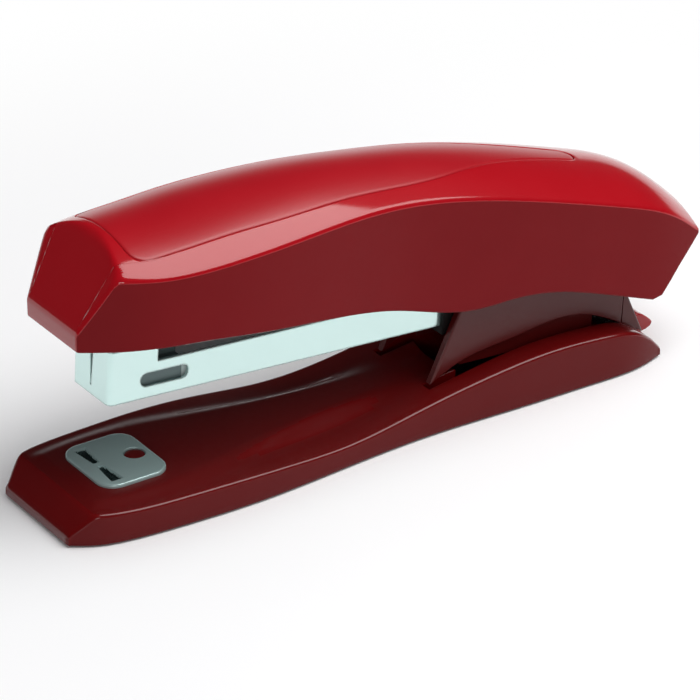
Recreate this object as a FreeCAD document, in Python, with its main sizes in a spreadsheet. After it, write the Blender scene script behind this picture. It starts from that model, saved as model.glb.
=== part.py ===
import FreeCAD, Part
import math
import os

import Sketcher

# Full-strip desktop stapler, in millimetres.
# Frame: +X runs from the nose to the tail, +Z is up, and the part is symmetric about Y = 0.
# The origin is the centre of the footprint, on the surface that the stapler stands on.
#
# Four groups of pieces move on each other:
#   base     stands still and carries the anvil,
#   carrier  bracket and magazine, hinged to the base on the carrier pin,
#   pusher   slides along the magazine,
#   handle   cover, frame and driver, hinged to the bracket on the handle pin.
# Carrier and handle metalwork is drawn in the carrier's own axes, whose origin is the carrier pin
# and which lean back by the rest tilt of the magazine.

DIMENSIONS = {
    # base shell
    "base_wall": 2.0,
    "base_lip": 0.3,
    "base_front": -82.5,
    "base_rear": 72.9,
    "base_lip_height": 2.6,
    "base_deck": 8.3,
    "base_stock": 14.0,
    "deck_foot": 4.5,
    "deck_spread": 2.2,
    "slot_front": 10.9,
    "slot_rear": 69.6,
    "slot_half": 10.9,
    "slot_wall": 1.5,
    "slot_tail": 0.5,
    "lug_thickness": 2.5,
    "lug_length": 10.0,
    "notch_front": 66.0,
    "notch_floor": 1.9,
    "boss_radius": 2.6,
    "screw_front": -41.0,
    "screw_rear": 3.5,
    "screw_front_half": 12.5,
    "screw_rear_half": 10.5,
    "boss_height": 4.2,
    "pilot_radius": 0.9,
    "pilot_depth": 5.2,
    "screw_head_radius": 2.1,
    "screw_head_low": 0.25,
    "screw_length": 4.4,
    "screw_drive_radius": 0.7,
    "screw_drive_depth": 0.3,
    "screw_root": 0.2,
    "plate_hole": 1.2,
    # base plate, feet and tongue
    "plate_low": 0.8,
    "plate_thick": 1.2,
    "plate_gap": 0.15,
    "plate_front": -79.5,
    "plate_length": 149.6,
    "foot_thick": 0.8,
    "foot_length": 28.0,
    "foot_half": 11.0,
    "foot_front_start": -74.0,
    "foot_rear_start": 34.0,
    "foot_corner": 3.0,
    "foot_groove": 1.2,
    "foot_groove_inset": 4.0,
    "foot_groove_count": 6,
    "tongue_half": 6.0,
    "tongue_gap": 0.2,
    "tongue_corner": 2.5,
    "tongue_tip": 76.9,
    # anvil
    "anvil_top": 9.2,
    "anvil_start": -70.9,
    "anvil_length": 16.6,
    "anvil_half": 10.0,
    "anvil_corner": 4.2,
    "anvil_edge": 0.4,
    "anvil_hole_x": -57.9,
    "anvil_hole": 2.4,
    "anvil_boss_gap": 0.15,
    "anvil_boss_height": 1.6,
    "anvil_boss_root": 1.0,
    "groove_x": -66.6,
    "groove_half": 1.05,
    "groove_length": 7.1,
    "groove_gap": 0.8,
    "groove_depth": 0.55,
    # hinge pins
    "carrier_x": 64.0,
    "carrier_z": 7.5,
    "tilt": 3.75,
    "pin_radius": 1.5,
    "pin_clearance": 0.06,
    "carrier_pin_half": 12.9,
    "handle_pin_x": -9.5,
    "handle_pin_z": 22.9,
    "pin_head_radius": 2.7,
    "pin_head": 0.9,
    "pin_spare": 0.1,
    # bracket
    "bracket_half": 10.4,
    "bracket_inner": 8.6,
    "carrier_lug": 3.6,
    "handle_lug": 4.5,
    "handle_lug_rear": 4.2,
    "web_low": 8.8,
    "web_front": -43.0,
    "web_rear": -1.5,
    "seam_x": 0.6,
    "web_hole": 1.2,
    "skirt_low": 0.3,
    "skirt_length": 36.5,
    "skirt_sheet": 0.8,
    "skirt_overlap": 0.3,
    "cap_gap": 0.2,
    # collar
    "collar_ahead": 5.4,
    "collar_length": 3.2,
    "collar_height": 9.4,
    "collar_gap": 0.1,
    "rib_start": 0.1,
    "rib_pitch": 1.0,
    "rib_thick": 0.6,
    "rib_low": 6.4,
    "rib_height": 3.0,
    "rib_reach": 0.7,
    # magazine
    "sheet": 0.8,
    "mag_half": 7.4,
    "mag_bottom": 10.6,
    "mag_side": 8.15,
    "nose_x": -133.3,
    "nose_length": 11.9,
    "nose_corner": 1.4,
    "nose_top": 23.0,
    "mag_rear": -18.0,
    "exit_rear": -130.5,
    "window_x": -119.6,
    "window_z": 14.85,
    "window_length": 11.9,
    "window_half": 1.55,
    "slit_half": 0.8,
    "slit_foot": 0.2,
    "slit_start": 2.2,
    "window_flat": 0.02,
    # rail, rod, pusher
    "rail_half": 5.9,
    "rail_sheet": 0.7,
    "rail_top": 17.2,
    "rail_rear": -24.0,
    "rod_z": 19.6,
    "rod_radius": 1.0,
    "rod_seat": 2.0,
    "rivet_front": -39.0,
    "rivet_rear": -27.0,
    "rivet_root": 0.6,
    "rivet_length": 3.2,
    "rivet_head": 0.8,
    "rivet_head_radius": 2.2,
    "bridge_front": -129.5,
    "bridge_thick": 1.6,
    "bridge_low": 18.4,
    "bridge_height": 3.4,
    "stop_length": 5.0,
    "stop_height": 9.8,
    "pusher_length": 15.3,
    "pusher_block": 11.8,
    "pusher_half": 3.8,
    "pusher_height": 4.1,
    "pusher_gap": 0.3,
    "saddle_low": 12.6,
    "saddle_height": 5.3,
    "saddle_sheet": 0.45,
    "saddle_gap": 0.1,
    "rod_gap": 0.08,
    "spring_outer": 1.7,
    "spring_inner": 1.3,
    # handle metalwork
    "frame_inner": 7.6,
    "frame_sheet": 0.8,
    "frame_top": 35.1,
    "frame_front": -132.3,
    "flange_front": -131.55,
    "flange_low": 28.0,
    "flange_gap": 0.1,
    "frame_skirt": 10.0,
    "driver_thick": 0.5,
    "driver_half": 6.25,
    "driver_low": 19.0,
    "driver_rivet": 0.8,
    "driver_rivet_head": 1.5,
    "driver_rivet_y": 3.2,
    "driver_rivet_z": 31.0,
    "leaf_thick": 0.5,
    "leaf_width": 7.0,
    "leaf_gap": 0.25,
    "leaf_slot": -43.0,
    "leaf_slot_length": 3.0,
    "leaf_slot_half": 1.2,
    "cover_screw_front": -108.0,
    "cover_screw_rear": -48.0,
    "cover_screw": 1.0,
    "cover_screw_length": 6.5,
    "cover_screw_gap": 0.25,
    "cover_screw_root": 0.4,
    "cover_screw_head": 1.3,
    "cover_screw_head_radius": 2.2,
    "cover_boss": 3.4,
    "cover_boss_length": 25.0,
    # cover
    "cover_wall": 2.0,
    "cover_roof": 2.8,
    "cover_front": -77.1,
    "cover_lip": 43.3,
    "cover_lip_top": 47.6,
    "cover_rake_x": -69.6,
    "cover_rake_z": 59.9,
    "cover_rake_wall": 2.6,
    "crown_angle": 36.6,
    "insert_front": -64.4,
    "insert_corner": 4.0,
    "insert_half": 13.4,
    "insert_tip": 57.0,
    "insert_depth": 1.3,
    "insert_gap": 0.12,
    # lift spring
    "lift_x": 47.0,
    "lift_outer": 4.4,
    "lift_inner": 3.5,
    # rough stock and cutters: how far a cutter starts outside what it cuts, and their sizes
    "over": 1.0,
    "stock_reach": 70.0,
    "stock_drop": 10.0,
    "stock_height": 60.0,
}
# Rough stock of the free-form pieces: past their sides, below and above them.
STOCK_SIDE = 25.0
STOCK_FLOOR = 5.0
STOCK_TOP = 80.0

Vector = FreeCAD.Vector
ALONG_X = FreeCAD.Rotation(Vector(0, 1, 0), 90)
ALONG_Y = FreeCAD.Rotation(Vector(1, 0, 0), -90)
UPRIGHT = FreeCAD.Rotation()
TILTED = (
    "placement(vector(dims.carrier_x; 0; dims.carrier_z);"
    " rotation(vector(0; 1; 0); dims.tilt))"
)

doc = FreeCAD.newDocument("stapler")
sheet = doc.addObject("Spreadsheet::Sheet", "dims")
for row, (alias, number) in enumerate(DIMENSIONS.items(), start=1):
    sheet.set(f"A{row}", alias)
    sheet.set(f"B{row}", str(number))
    sheet.setAlias(f"B{row}", alias)
doc.recompute()

subparts = []


# ---------------------------------------------------------------- helpers


def value(text):
    """The number that an expression on the sheet gives now."""
    return float(sheet.evalExpression(str(text)))


def finish(thing, label, tilted=False):
    """Name a finished sub-part, and lean it back with the magazine where it belongs there."""
    thing.Label = label
    if tilted:
        thing.setExpression("Placement", TILTED)
    subparts.append(thing)
    return thing


def block(name, low, sizes):
    """Box from its low corner and its three sizes, all expressions on the sheet."""
    box = doc.addObject("Part::Box", name)
    for axis, text in zip("xyz", low):
        box.setExpression(f"Placement.Base.{axis}", text)
    for edge, text in zip(("Length", "Width", "Height"), sizes):
        box.setExpression(edge, text)
    return box


def round_bar(name, start, radius, length, direction=UPRIGHT):
    """Cylinder from the centre of its first end."""
    bar = doc.addObject("Part::Cylinder", name)
    bar.Placement = FreeCAD.Placement(Vector(), direction)
    for axis, text in zip("xyz", start):
        bar.setExpression(f"Placement.Base.{axis}", text)
    bar.setExpression("Radius", radius)
    bar.setExpression("Height", length)
    return bar


def fuse(name, pieces):
    joined = doc.addObject("Part::MultiFuse", name)
    joined.Shapes = pieces
    return joined


def cut(name, base, tools):
    removed = doc.addObject("Part::Cut", name)
    removed.Base = base
    removed.Tool = tools[0] if len(tools) == 1 else fuse(name + "_tools", tools)
    return removed


def common(name, pieces):
    shared = doc.addObject("Part::MultiCommon", name)
    shared.Shapes = pieces
    return shared


def new_body(name):
    return doc.addObject("PartDesign::Body", name)


def new_sketch(body, role, name, offset="0"):
    """Sketch on one of the body's own origin planes, moved along the plane's normal."""
    sketch = body.newObject("Sketcher::SketchObject", name)
    plane = next(f for f in body.Origin.OriginFeatures if f.Role == role)
    sketch.AttachmentSupport = [(plane, "")]
    sketch.MapMode = "FlatFace"
    sketch.setExpression("AttachmentOffset.Base.z", offset)
    return sketch


def bound(sketch, kind, places, text):
    """A dimensional constraint whose datum follows the sheet."""
    index = sketch.addConstraint(Sketcher.Constraint(kind, *places, value(text)))
    sketch.setExpression(f"Constraints[{index}]", text)


def rectangle(sketch, low, sizes):
    """Rectangle from its low corner and its two sizes, all expressions on the sheet."""
    left, bottom = (value(text) for text in low)
    right, top = left + value(sizes[0]), bottom + value(sizes[1])
    corners = [Vector(left, bottom), Vector(right, bottom), Vector(right, top), Vector(left, top)]
    first = sketch.GeometryCount
    for side in range(4):
        sketch.addGeometry(Part.LineSegment(corners[side], corners[(side + 1) % 4]))
    for side in range(4):
        following = first + (side + 1) % 4
        sketch.addConstraint(Sketcher.Constraint("Coincident", first + side, 2, following, 1))
        level = "Horizontal" if side % 2 == 0 else "Vertical"
        sketch.addConstraint(Sketcher.Constraint(level, first + side))
    bound(sketch, "DistanceX", (-1, 1, first, 1), low[0])
    bound(sketch, "DistanceY", (-1, 1, first, 1), low[1])
    bound(sketch, "DistanceX", (first, 1, first, 2), sizes[0])
    bound(sketch, "DistanceY", (first + 1, 1, first + 1, 2), sizes[1])


def circle(sketch, x, y, radius):
    """Circle whose centre and radius are expressions on the sheet."""
    centre = Vector(value(x), value(y))
    index = sketch.addGeometry(Part.Circle(centre, Vector(0, 0, 1), value(radius)))
    bound(sketch, "DistanceX", (-1, 1, index, 3), x)
    bound(sketch, "DistanceY", (-1, 1, index, 3), y)
    bound(sketch, "Radius", (index,), radius)


def polygon(sketch, points):
    """Closed outline of straight sides through (x, y) points."""
    corners = [Vector(x, y) for x, y in points]
    for start, end in zip(corners, corners[1:] + corners[:1]):
        sketch.addGeometry(Part.LineSegment(start, end))


def pad(body, sketch, name, length, symmetric=False, taper="0", reverse=False):
    feature = body.newObject("PartDesign::Pad", name)
    feature.Profile = sketch
    feature.setExpression("Length", length)
    feature.setExpression("TaperAngle", taper)
    feature.SideType = "Symmetric" if symmetric else "One side"
    feature.Reversed = reverse
    doc.recompute()
    return feature


def pocket(body, sketch, name, length=None, symmetric=False, reverse=False):
    """Pocket of a given depth, or through everything, checked by the volume that it takes away."""
    doc.recompute()
    before = body.Shape.Volume
    feature = body.newObject("PartDesign::Pocket", name)
    feature.Profile = sketch
    feature.SideType = "Symmetric" if symmetric else "One side"
    feature.Reversed = reverse
    if length is None:
        feature.Type = "ThroughAll"
    else:
        feature.setExpression("Length", length)
    doc.recompute()
    if not body.Shape.Volume < before - 1e-3:
        raise ValueError(f"{name} cuts nothing")
    return feature


def edge_fillet(body, name, radius, wanted):
    """Fillet the edges of the body's tip for which wanted(edge) is true."""
    doc.recompute()
    base = body.Tip
    edges = [f"Edge{i}" for i, edge in enumerate(base.Shape.Edges, start=1) if wanted(edge)]
    feature = body.newObject("PartDesign::Fillet", name)
    feature.Base = (base, edges)
    feature.setExpression("Radius", radius)
    doc.recompute()
    return feature


def is_upright(edge):
    box = edge.BoundBox
    return box.ZLength > 0.3 and box.XLength < 1e-6 and box.YLength < 1e-6


def curve_through(points):
    """Smooth edge through the points."""
    curve = Part.BSplineCurve()
    curve.interpolate([Vector(*point) for point in points])
    return curve.toShape()


def line(start, end):
    return Part.makeLine(Vector(*start), Vector(*end))


def prism(edges, direction):
    """Solid swept from the closed outline that the edges make."""
    wire = Part.Wire(Part.__sortEdges__(edges))
    return Part.Face(wire).extrude(direction)


def shaped(name, shape):
    """A document object for a free-form solid that is made with Part's own functions."""
    feature = doc.addObject("Part::Feature", name)
    feature.Shape = shape
    return feature


# ---------------------------------------------------------------- base shell

# Half-width of the base along its length: straight across at nose and tail, waisted in the middle.
BASE_PLAN = [
    (-82.5, 12.6),
    (-77.0, 16.2),
    (-71.0, 18.0),
    (-58.0, 19.3),
    (-37.0, 19.7),
    (-14.4, 17.9),
    (8.8, 16.5),
    (31.0, 17.1),
    (54.0, 17.5),
    (66.0, 16.8),
    (72.9, 14.6),
]
# Height of the base's upper edge along its length.
BASE_EDGE = [
    (-77.3, 7.7),
    (-66.0, 7.3),
    (-48.0, 7.1),
    (-30.0, 6.3),
    (-14.0, 5.5),
    (4.0, 7.3),
    (22.0, 10.2),
    (40.0, 12.0),
    (55.0, 11.4),
    (64.0, 9.6),
    (70.6, 4.9),
    (72.9, 2.4),
]
# Half-width of the raised tongue on top of the base, from behind the raked front to the slot.
TONGUE_PLAN = [
    (-74.0, 12.4),
    (-62.0, 13.6),
    (-43.0, 10.8),
    (-22.5, 6.9),
    (-5.0, 5.0),
    (10.0, 4.4),
]


def plan_prism(inset, low, high):
    """Upright solid inside the base's plan, its walls moved in by the inset."""
    side = [(x, half - inset) for x, half in BASE_PLAN]
    side[0] = (value("dims.base_front") + inset, side[0][1])
    side[-1] = (value("dims.base_rear") - inset, side[-1][1])
    far = [(x, y, low) for x, y in side]
    near = [(x, -y, low) for x, y in side]
    edges = [
        curve_through(far),
        line(far[-1], near[-1]),
        curve_through(near),
        line(near[0], far[0]),
    ]
    return prism(edges, Vector(0, 0, high - low))


def side_prism(drop, low):
    """Solid under the base's upper edge, lowered by the drop, as wide as the base and more."""
    front, rear = value("dims.base_front"), value("dims.base_rear")
    crest = [(x, -STOCK_SIDE, z - drop) for x, z in BASE_EDGE]
    lip = (front, -STOCK_SIDE, value("dims.base_lip_height") - drop)
    edges = [
        line((front, -STOCK_SIDE, low), lip),
        line(lip, crest[0]),
        curve_through(crest),
        line(crest[-1], (rear, -STOCK_SIDE, low)),
        line((rear, -STOCK_SIDE, low), (front, -STOCK_SIDE, low)),
    ]
    return prism(edges, Vector(0, 2 * STOCK_SIDE, 0))


def raised_tongue():
    """The flat deck that the anvil sits on, narrowing to a ridge under the magazine."""
    deck, foot = value("dims.base_deck"), value("dims.deck_foot")
    wires = []
    for level, extra in ((foot, value("dims.deck_spread")), (deck, 0.0)):
        far = [(x, half + extra, level) for x, half in TONGUE_PLAN]
        far[0] = (far[0][0] - extra, far[0][1], level)
        near = [(x, -y, z) for x, y, z in far]
        edges = [
            curve_through(far),
            line(far[-1], near[-1]),
            curve_through(near),
            line(near[0], far[0]),
        ]
        wires.append(Part.Wire(Part.__sortEdges__(edges)))
    return Part.makeLoft(wires, True, True)


base_stock, over = value("dims.base_stock"), value("dims.over")
lip, wall = value("dims.base_lip"), value("dims.base_wall")
outer_base = plan_prism(0.0, lip, base_stock).common(side_prism(0.0, -over))
outer_base = outer_base.fuse(raised_tongue())
inner_base = plan_prism(wall, -over, base_stock).common(side_prism(wall, -2 * over))
base_skin = shaped("base_skin", outer_base.cut(inner_base))

slot_cheeks = block(
    "slot_cheeks",
    (
        "dims.slot_front - dims.slot_wall",
        "-dims.slot_half - dims.slot_wall",
        "dims.plate_low + dims.plate_thick",
    ),
    (
        "dims.base_rear - dims.slot_front - dims.slot_tail",
        "2 * (dims.slot_half + dims.slot_wall)",
        "dims.base_stock - dims.plate_low - dims.plate_thick",
    ),
)
pin_lugs = block(
    "pin_lugs",
    (
        "dims.carrier_x - dims.lug_length / 2",
        "-dims.slot_half - dims.lug_thickness",
        "dims.plate_low + dims.plate_thick",
    ),
    (
        "dims.lug_length",
        "2 * (dims.slot_half + dims.lug_thickness)",
        "dims.base_stock - dims.plate_low - dims.plate_thick",
    ),
)
base_envelope = shaped("base_envelope", outer_base)
slot_walls = common("slot_walls", [fuse("slot_stock", [slot_cheeks, pin_lugs]), base_envelope])
slot = block(
    "slot",
    ("dims.slot_front", "-dims.slot_half", "-dims.over"),
    ("dims.slot_rear - dims.slot_front", "2 * dims.slot_half", "dims.stock_height"),
)
tongue_notch = block(
    "tongue_notch",
    ("dims.notch_front", "-dims.tongue_half - dims.tongue_gap", "dims.notch_floor"),
    (
        "dims.base_rear + dims.over - dims.notch_front",
        "2 * (dims.tongue_half + dims.tongue_gap)",
        "dims.base_stock - dims.notch_floor",
    ),
)
carrier_bore = round_bar(
    "carrier_bore",
    ("dims.carrier_x", "-dims.carrier_pin_half", "dims.carrier_z"),
    "dims.pin_radius",
    "2 * dims.carrier_pin_half",
    ALONG_Y,
)

SCREW_PLACES = [
    (along, side)
    for along, side in (
        ("dims.screw_front", "dims.screw_front_half"),
        ("dims.screw_front", "-dims.screw_front_half"),
        ("dims.screw_rear", "dims.screw_rear_half"),
        ("dims.screw_rear", "-dims.screw_rear_half"),
    )
]
bosses = []
pilot_holes = []
for number, (along, side) in enumerate(SCREW_PLACES, start=1):
    floor = "dims.plate_low + dims.plate_thick"
    bosses.append(round_bar(f"boss_{number}", (along, side, floor), "dims.boss_radius", "dims.boss_height"))
    pilot = round_bar(f"pilot_{number}", (along, side, "0"), "dims.pilot_radius", "dims.pilot_depth")
    pilot_holes.append(pilot)
anvil_boss = round_bar(
    "anvil_boss",
    ("dims.anvil_hole_x", "0", "dims.base_deck - dims.anvil_boss_root"),
    "dims.anvil_hole - dims.anvil_boss_gap",
    "dims.anvil_boss_height",
)
base_solid = fuse("base_solid", [base_skin, slot_walls, anvil_boss] + bosses)
base_shell = cut("base_shell", base_solid, [slot, tongue_notch, carrier_bore] + pilot_holes)
finish(base_shell, "base_shell")

# ---------------------------------------------------------------- base plate, feet, screws, tongue

plate_low, plate_high = value("dims.plate_low"), value("dims.plate_low + dims.plate_thick")
plate_stock = plan_prism(wall + value("dims.plate_gap"), plate_low, plate_high)
plate_blank = shaped("plate_blank", plate_stock)
plate_trim = block(
    "plate_trim",
    ("dims.plate_front", "-dims.stock_reach / 2", "0"),
    ("dims.plate_length", "dims.stock_reach", "dims.stock_height"),
)
plate_body = common("plate_body", [plate_blank, plate_trim])
plate_holes = [
    round_bar(f"plate_hole_{number}", (along, side, "0"), "dims.plate_hole", "dims.stock_height")
    for number, (along, side) in enumerate(SCREW_PLACES, start=1)
]
finish(cut("base_plate", plate_body, plate_holes), "base_plate")

for end in ("front", "rear"):
    foot = new_body(f"foot_{end}")
    outline = new_sketch(foot, "XY_Plane", f"foot_{end}_outline")
    rectangle(
        outline,
        (f"dims.foot_{end}_start", "-dims.foot_half"),
        ("dims.foot_length", "2 * dims.foot_half"),
    )
    pad(foot, outline, f"foot_{end}_pad", "dims.foot_thick")
    edge_fillet(foot, f"foot_{end}_corners", "dims.foot_corner", is_upright)
    groove = new_sketch(foot, "XZ_Plane", f"foot_{end}_groove")
    rectangle(
        groove,
        (f"dims.foot_{end}_start + dims.foot_groove_inset", "0"),
        ("dims.foot_groove", "dims.foot_thick / 2"),
    )
    first_groove = pocket(foot, groove, f"foot_{end}_first_groove", symmetric=True)
    grooves = foot.newObject("PartDesign::LinearPattern", f"foot_{end}_grooves")
    grooves.Originals = [first_groove]
    grooves.Direction = (groove, ["H_Axis"])
    grooves.Length = value("dims.foot_length - 2 * dims.foot_groove_inset - dims.foot_groove")
    grooves.Occurrences = int(value("dims.foot_groove_count"))
    foot.Tip = grooves
    finish(foot, f"foot_{end}")

screws = []
for number, (along, side) in enumerate(SCREW_PLACES, start=1):
    head = round_bar(
        f"screw_head_{number}",
        (along, side, "dims.screw_head_low"),
        "dims.screw_head_radius",
        "dims.plate_low - dims.screw_head_low",
    )
    shank = round_bar(
        f"screw_shank_{number}",
        (along, side, "dims.plate_low - dims.screw_root"),
        "dims.pilot_radius",
        "dims.screw_length",
    )
    drive = round_bar(
        f"screw_drive_{number}",
        (along, side, "0"),
        "dims.screw_drive_radius",
        "dims.screw_head_low + dims.screw_drive_depth",
    )
    screws.append(cut(f"screw_{number}", fuse(f"screw_blank_{number}", [head, shank]), [drive]))
screw_group = doc.addObject("Part::Compound", "base_screws")
screw_group.Links = screws
finish(screw_group, "base_screws")

tongue = new_body("remover_tongue")
tongue_side = new_sketch(tongue, "XZ_Plane", "tongue_side")
polygon(
    tongue_side,
    [
        (60.0, 2.0),
        (72.4, 2.0),
        (75.4, 2.4),
        (77.0, 3.1),
        (77.3, 4.0),
        (75.6, 5.6),
        (73.2, 7.1),
        (71.8, 6.6),
        (71.6, 4.2),
        (60.0, 3.4),
    ],
)
pad(tongue, tongue_side, "tongue_pad", "2 * dims.tongue_half", symmetric=True)
edge_fillet(
    tongue,
    "tongue_nose",
    "dims.tongue_corner",
    lambda edge: edge.BoundBox.XMin > value("dims.tongue_tip") and edge.BoundBox.YLength < 0.01,
)
finish(tongue, "remover_tongue")

# ---------------------------------------------------------------- anvil

anvil = new_body("anvil_plate")
anvil_outline = new_sketch(anvil, "XY_Plane", "anvil_outline", "dims.base_deck")
rectangle(
    anvil_outline,
    ("dims.anvil_start", "-dims.anvil_half"),
    ("dims.anvil_length", "2 * dims.anvil_half"),
)
pad(anvil, anvil_outline, "anvil_pad", "dims.anvil_top - dims.base_deck")
edge_fillet(anvil, "anvil_corners", "dims.anvil_corner", is_upright)
edge_fillet(
    anvil,
    "anvil_rim",
    "dims.anvil_edge",
    lambda edge: edge.BoundBox.ZMin > value("dims.anvil_top") - 1e-6,
)
hole = new_sketch(anvil, "XY_Plane", "anvil_hole", "dims.anvil_top")
circle(hole, "dims.anvil_hole_x", "0", "dims.anvil_hole")
pocket(anvil, hole, "anvil_hole_cut")
for side, start in (("far", "dims.groove_gap"), ("near", "-dims.groove_gap - dims.groove_length")):
    groove = new_sketch(anvil, "XY_Plane", f"groove_{side}", "dims.anvil_top")
    rectangle(
        groove,
        ("dims.groove_x - dims.groove_half", start),
        ("2 * dims.groove_half", "dims.groove_length"),
    )
    pocket(anvil, groove, f"groove_{side}_cut", "dims.groove_depth")
finish(anvil, "anvil_plate")

# ---------------------------------------------------------------- hinge pins and lift spring

carrier_pin = round_bar(
    "carrier_pin",
    ("dims.carrier_x", "-dims.carrier_pin_half", "dims.carrier_z"),
    "dims.pin_radius",
    "2 * dims.carrier_pin_half",
    ALONG_Y,
)
finish(carrier_pin, "carrier_pin")

pin_shank = round_bar(
    "handle_pin_shank",
    ("dims.handle_pin_x", "-dims.bracket_half - dims.pin_spare", "dims.handle_pin_z"),
    "dims.pin_radius",
    "2 * (dims.bracket_half + dims.pin_spare)",
    ALONG_Y,
)
pin_heads = [
    round_bar(
        f"handle_pin_head_{side}",
        ("dims.handle_pin_x", start, "dims.handle_pin_z"),
        "dims.pin_head_radius",
        "dims.pin_head",
        ALONG_Y,
    )
    for side, start in (
        ("far", "dims.bracket_half"),
        ("near", "-dims.bracket_half - dims.pin_head"),
    )
]
finish(fuse("handle_pin", [pin_shank] + pin_heads), "handle_pin", tilted=True)

lift_foot = "dims.plate_low + dims.plate_thick"
lift_height = (
    "dims.carrier_z + dims.web_low / cos(dims.tilt) + (dims.carrier_x - dims.lift_x) * tan(dims.tilt)"
    " - dims.lift_outer * tan(dims.tilt) - dims.plate_low - dims.plate_thick"
)
lift_coil = round_bar("lift_coil", ("dims.lift_x", "0", lift_foot), "dims.lift_outer", lift_height)
lift_core = round_bar("lift_core", ("dims.lift_x", "0", lift_foot), "dims.lift_inner", lift_height)
finish(cut("lift_spring", lift_coil, [lift_core]), "lift_spring")

# ---------------------------------------------------------------- bracket and its rear cap

# The bracket's arched lower edge, in the carrier's axes.
ARCH = [
    (-52.0, -1.8),
    (-45.6, 1.6),
    (-30.3, 4.8),
    (-17.8, 6.8),
    (-9.0, 5.8),
    (-1.0, 2.4),
    (7.2, -1.9),
]
REAR_EDGE = [(7.2, -1.9), (2.2, 7.8), (-1.6, 15.2)]
FRONT_EDGE = [(-16.0, 26.2), (-42.0, 22.6), (-52.0, -1.8)]


def bracket_outline():
    """Side view of bracket and cap together, as edges in the plane Y = 0."""
    arch = [(x, 0, z) for x, z in ARCH]
    corners = [
        *REAR_EDGE,
        (value("dims.handle_pin_x + dims.handle_lug_rear"), value("dims.handle_pin_z")),
        (value("dims.handle_pin_x"), value("dims.handle_pin_z + dims.handle_lug")),
        *FRONT_EDGE,
    ]
    edges = [curve_through(arch)]
    for start, end in zip(corners, corners[1:]):
        edges.append(line((start[0], 0, start[1]), (end[0], 0, end[1])))
    return edges


bracket_half = value("dims.bracket_half")
side_view = prism(bracket_outline(), Vector(0, 2 * bracket_half, 0))
side_view.translate(Vector(0, -bracket_half, 0))
bracket_side = shaped("bracket_side", side_view)
ahead_of_seam = block(
    "ahead_of_seam",
    ("-dims.stock_reach", "-dims.bracket_half", "-dims.stock_drop"),
    ("dims.stock_reach + dims.seam_x", "2 * dims.bracket_half", "dims.stock_height"),
)
carrier_lugs = round_bar(
    "carrier_lugs",
    ("0", "-dims.bracket_half", "0"),
    "dims.carrier_lug",
    "2 * dims.bracket_half",
    ALONG_Y,
)
bracket_stock = fuse(
    "bracket_stock",
    [common("bracket_front_part", [bracket_side, ahead_of_seam]), carrier_lugs],
)
between_cheeks = block(
    "between_cheeks",
    ("-dims.stock_reach", "-dims.bracket_inner", "-dims.stock_drop"),
    ("2 * dims.stock_reach", "2 * dims.bracket_inner", "dims.stock_height"),
)
bracket_pin_holes = [
    round_bar(
        name,
        (along, "-dims.bracket_half - dims.over", up),
        radius,
        "2 * (dims.bracket_half + dims.over)",
        ALONG_Y,
    )
    for name, along, up, radius in (
        ("carrier_pin_hole", "0", "0", "dims.pin_radius + dims.pin_clearance"),
        ("handle_pin_hole", "dims.handle_pin_x", "dims.handle_pin_z", "dims.pin_radius"),
    )
]
cheeks = cut("cheeks", bracket_stock, [between_cheeks] + bracket_pin_holes)
web = block(
    "web",
    ("dims.web_front", "-dims.bracket_inner", "dims.web_low"),
    ("dims.web_rear - dims.web_front", "2 * dims.bracket_inner", "dims.mag_bottom - dims.web_low"),
)
rivet_x = ("dims.rivet_front", "dims.rivet_rear")
web_holes = [
    round_bar(
        f"web_hole_{number}",
        (along, "0", "dims.web_low - dims.over"),
        "dims.web_hole",
        "dims.stock_reach",
    )
    for number, along in enumerate(rivet_x, start=1)
]
# Skirt under the web: it closes the view into the base beside the lift spring.
skirt_stock = block(
    "skirt_stock",
    ("dims.web_front", "-dims.bracket_inner", "dims.skirt_low"),
    ("dims.skirt_length", "2 * dims.bracket_inner", "dims.web_low - dims.skirt_low + dims.skirt_overlap"),
)
skirt_room = block(
    "skirt_room",
    ("dims.web_front - dims.over", "-dims.bracket_inner + dims.skirt_sheet", "dims.skirt_low - dims.over"),
    ("dims.skirt_length + 2 * dims.over", "2 * (dims.bracket_inner - dims.skirt_sheet)", "dims.stock_height"),
)
skirt = cut("skirt", skirt_stock, [skirt_room])
bracket = fuse("bracket", [cheeks, cut("web_plate", web, web_holes), skirt])
finish(bracket, "bracket", tilted=True)

behind_seam = block(
    "behind_seam",
    ("dims.seam_x", "-dims.bracket_half", "-dims.stock_drop"),
    ("dims.stock_reach", "2 * dims.bracket_half", "dims.stock_height"),
)
cap_stock = common("cap_stock", [bracket_side, behind_seam])
cap_lug_room = round_bar(
    "cap_lug_room",
    ("0", "-dims.bracket_half - dims.over", "0"),
    "dims.carrier_lug + dims.cap_gap",
    "2 * (dims.bracket_half + dims.over)",
    ALONG_Y,
)
finish(cut("bracket_rear_cap", cap_stock, [cap_lug_room]), "bracket_rear_cap", tilted=True)

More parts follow.
